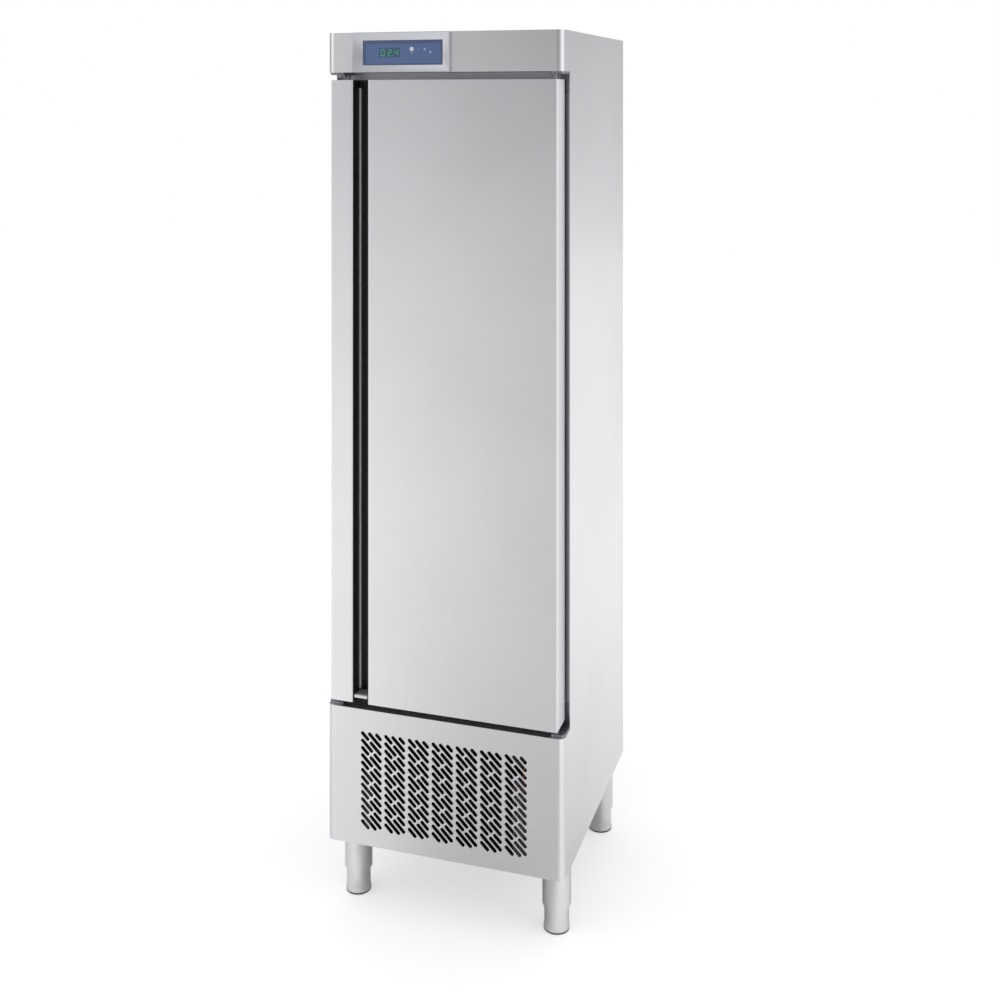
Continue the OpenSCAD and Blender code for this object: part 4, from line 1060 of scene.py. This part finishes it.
def pad_profile():
    return [(0.0, 0.0), (PAD_R - mm(2.0), 0.0), (PAD_R - mm(0.4), mm(1.0)), (PAD_R - mm(0.3), PAD_TOP),
            (0.0, PAD_TOP)]


for place in LEGS:
    node, body = "foot_" + place, place + "_foot"
    show(node + "_barrel", turned(barrel_profile(), foot_of(node)), "leg_steel", body, node)
    show(node + "_pad", turned(pad_profile(), foot_of(node)), "pad_plastic", body)
print("feet:", len(LEGS))

# %% [markdown]
# ## Inside the cavity
#
# The wire shelves keep their packed form, and the runners get softer edges. The cooler's fan opening
# gets the wire guard that keeps fingers out: rings on four spokes that lie behind them.

# %% Cooler's guard
cover_front = side("evaporator_cover", 0, "y")
fan_centre = middle("evaporator_fan_blades")
GUARD_WIRE = mm(1.1)
GUARD_STANDOFF, SPOKE_REACH = mm(3.4), mm(6.0)
GUARD_RINGS = [mm(r) for r in (12.0, 22.0, 32.0, 42.0, 52.0)]


def fan_guard():
    shape = bmesh.new()
    plane = cover_front - GUARD_STANDOFF
    for ring in GUARD_RINGS:
        points = [Vector((fan_centre.x + x, plane, fan_centre.z + z))
                  for x, z in arc((0, 0), ring, 0, 360, 48)[:-1]]
        swept_tube(shape, points, GUARD_WIRE, 8, closed=True)
    reach = GUARD_RINGS[-1] + SPOKE_REACH
    for turn in (45, 135, 225, 315):
        x, z = math.cos(math.radians(turn)), math.sin(math.radians(turn))
        points = [Vector((fan_centre.x + r * x, plane + 2 * GUARD_WIRE, fan_centre.z + r * z))
                  for r in (GUARD_RINGS[0] - GUARD_WIRE, reach * 0.5, reach)]
        swept_tube(shape, points, GUARD_WIRE, 8)
    return shape


show("fan_guard", fan_guard(), "wire_chrome", "cabinet")
softened("shelf_runners", "cabinet", mm(0.4), 1)
print("guard rings:", len(GUARD_RINGS))

# %% [markdown]
# ## Fan wheels
#
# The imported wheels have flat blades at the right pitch. A real blade is a curved plate, so we draw
# each one as a strip that widens and untwists from the hub to the tip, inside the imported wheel's
# space.

# %% Fan wheels
BLADES = 5
BLADE_T = mm(1.4)
HUB_R, BORE_R = mm(17.0), mm(3.05)


def fan_wheel(node):
    low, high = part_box(node)
    radius = (high.x - low.x) / 2
    centre = middle(node)
    half = (high.y - low.y) / 2
    hub = [(BORE_R, -half), (HUB_R - mm(1.0), -half), (HUB_R, -half + mm(1.0)), (HUB_R, half - mm(3.0)),
           (HUB_R - mm(1.2), half - mm(1.0)), (HUB_R - mm(4.0), half), (BORE_R, half), (BORE_R, -half)]
    shape = turned(hub, Vector(), 40)
    steps_out, steps_round = 6, 6
    for blade in range(BLADES):
        grid = []
        for i in range(steps_out + 1):
            share = i / steps_out
            r = HUB_R - mm(2.0) + (radius - HUB_R + mm(2.0)) * share
            sweep = math.radians(40.0 + 16.0 * share)
            rise = half * (0.86 - 0.1 * share)
            row = []
            for j in range(steps_round + 1):
                across = j / steps_round - 0.5
                angle = 2.0 * math.pi * blade / BLADES + sweep * across + math.radians(10.0) * share
                height = -2.0 * across * rise + mm(1.2) * math.cos(math.pi * across)
                row.append((r * math.cos(angle), r * math.sin(angle), height))
            grid.append(row)
        most = half - mm(0.2)
        upper = [[shape.verts.new((x, y, min(z + BLADE_T / 2, most))) for x, y, z in row] for row in grid]
        lower = [[shape.verts.new((x, y, max(z - BLADE_T / 2, -most))) for x, y, z in row] for row in grid]
        for i in range(steps_out):
            for j in range(steps_round):
                shape.faces.new((upper[i][j], upper[i + 1][j], upper[i + 1][j + 1], upper[i][j + 1]))
                shape.faces.new((lower[i][j], lower[i][j + 1], lower[i + 1][j + 1], lower[i + 1][j]))
        rim = [(i, 0) for i in range(steps_out)]
        rim += [(steps_out, j) for j in range(steps_round)]
        rim += [(i, steps_round) for i in range(steps_out, 0, -1)]
        rim += [(0, j) for j in range(steps_round, 0, -1)]
        for (i, j), (k, m) in zip(rim, rim[1:] + rim[:1]):
            shape.faces.new((upper[i][j], upper[k][m], lower[k][m], lower[i][j]))
    for vert in shape.verts:
        x, y, z = vert.co
        vert.co = Vector((centre.x + x, centre.y + z, centre.z - y))
    return shape


for fan in ("evaporator_fan", "condenser_fan"):
    show(fan + "_wheel", fan_wheel(fan + "_blades"), "fan_plastic", fan, fan + "_blades")
print("blades on each wheel:", BLADES)

# %% [markdown]
# ## Machine compartment and back
#
# Behind the grille everything is dark: the condenser gets a near-black finish that is painted shade,
# and the machine's parts sit in its shadow. The rear grille closes the compartment's back, and six
# screws hold it.

# %% Machine parts
softened("electrical_box", "cabinet", mm(1.2))
softened("drip_tray", "cabinet", mm(0.6))
softened("compressor_mounts", "cabinet", mm(1.5))
softened("cable_gland", "cabinet", mm(0.5))

# %% Screws on the back
SCREW_R, SCREW_INSET = mm(4.0), mm(14.0)


def screw_heads(places):
    """Round heads with a recess, on a face that looks to the back."""
    shape = bmesh.new()
    profile = [(0.0, mm(0.9)), (SCREW_R * 0.4, mm(0.9)), (SCREW_R * 0.45, mm(2.0)), (SCREW_R * 0.7, mm(1.8)),
               (SCREW_R * 0.93, mm(1.1)), (SCREW_R, mm(0.3)), (SCREW_R, mm(-0.4)), (0.0, mm(-0.4))]
    for place in places:
        one = turned(profile, Vector(), 20)
        for vert in one.verts:
            x, y, z = vert.co
            vert.co = Vector((place[0] + x, place[1] + z, place[2] + y))
        merged(shape, one)
    return shape


def grille_screws():
    (left, _, low), (right, back, high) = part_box("rear_grille")
    return [(x, back, z) for x in (left + SCREW_INSET, right - SCREW_INSET)
            for z in (low + SCREW_INSET, (low + high) / 2, high - SCREW_INSET)]


show("rear_grille_screws", screw_heads(grille_screws()), "hinge_steel", "cabinet")
print("screws on the rear grille:", len(grille_screws()))
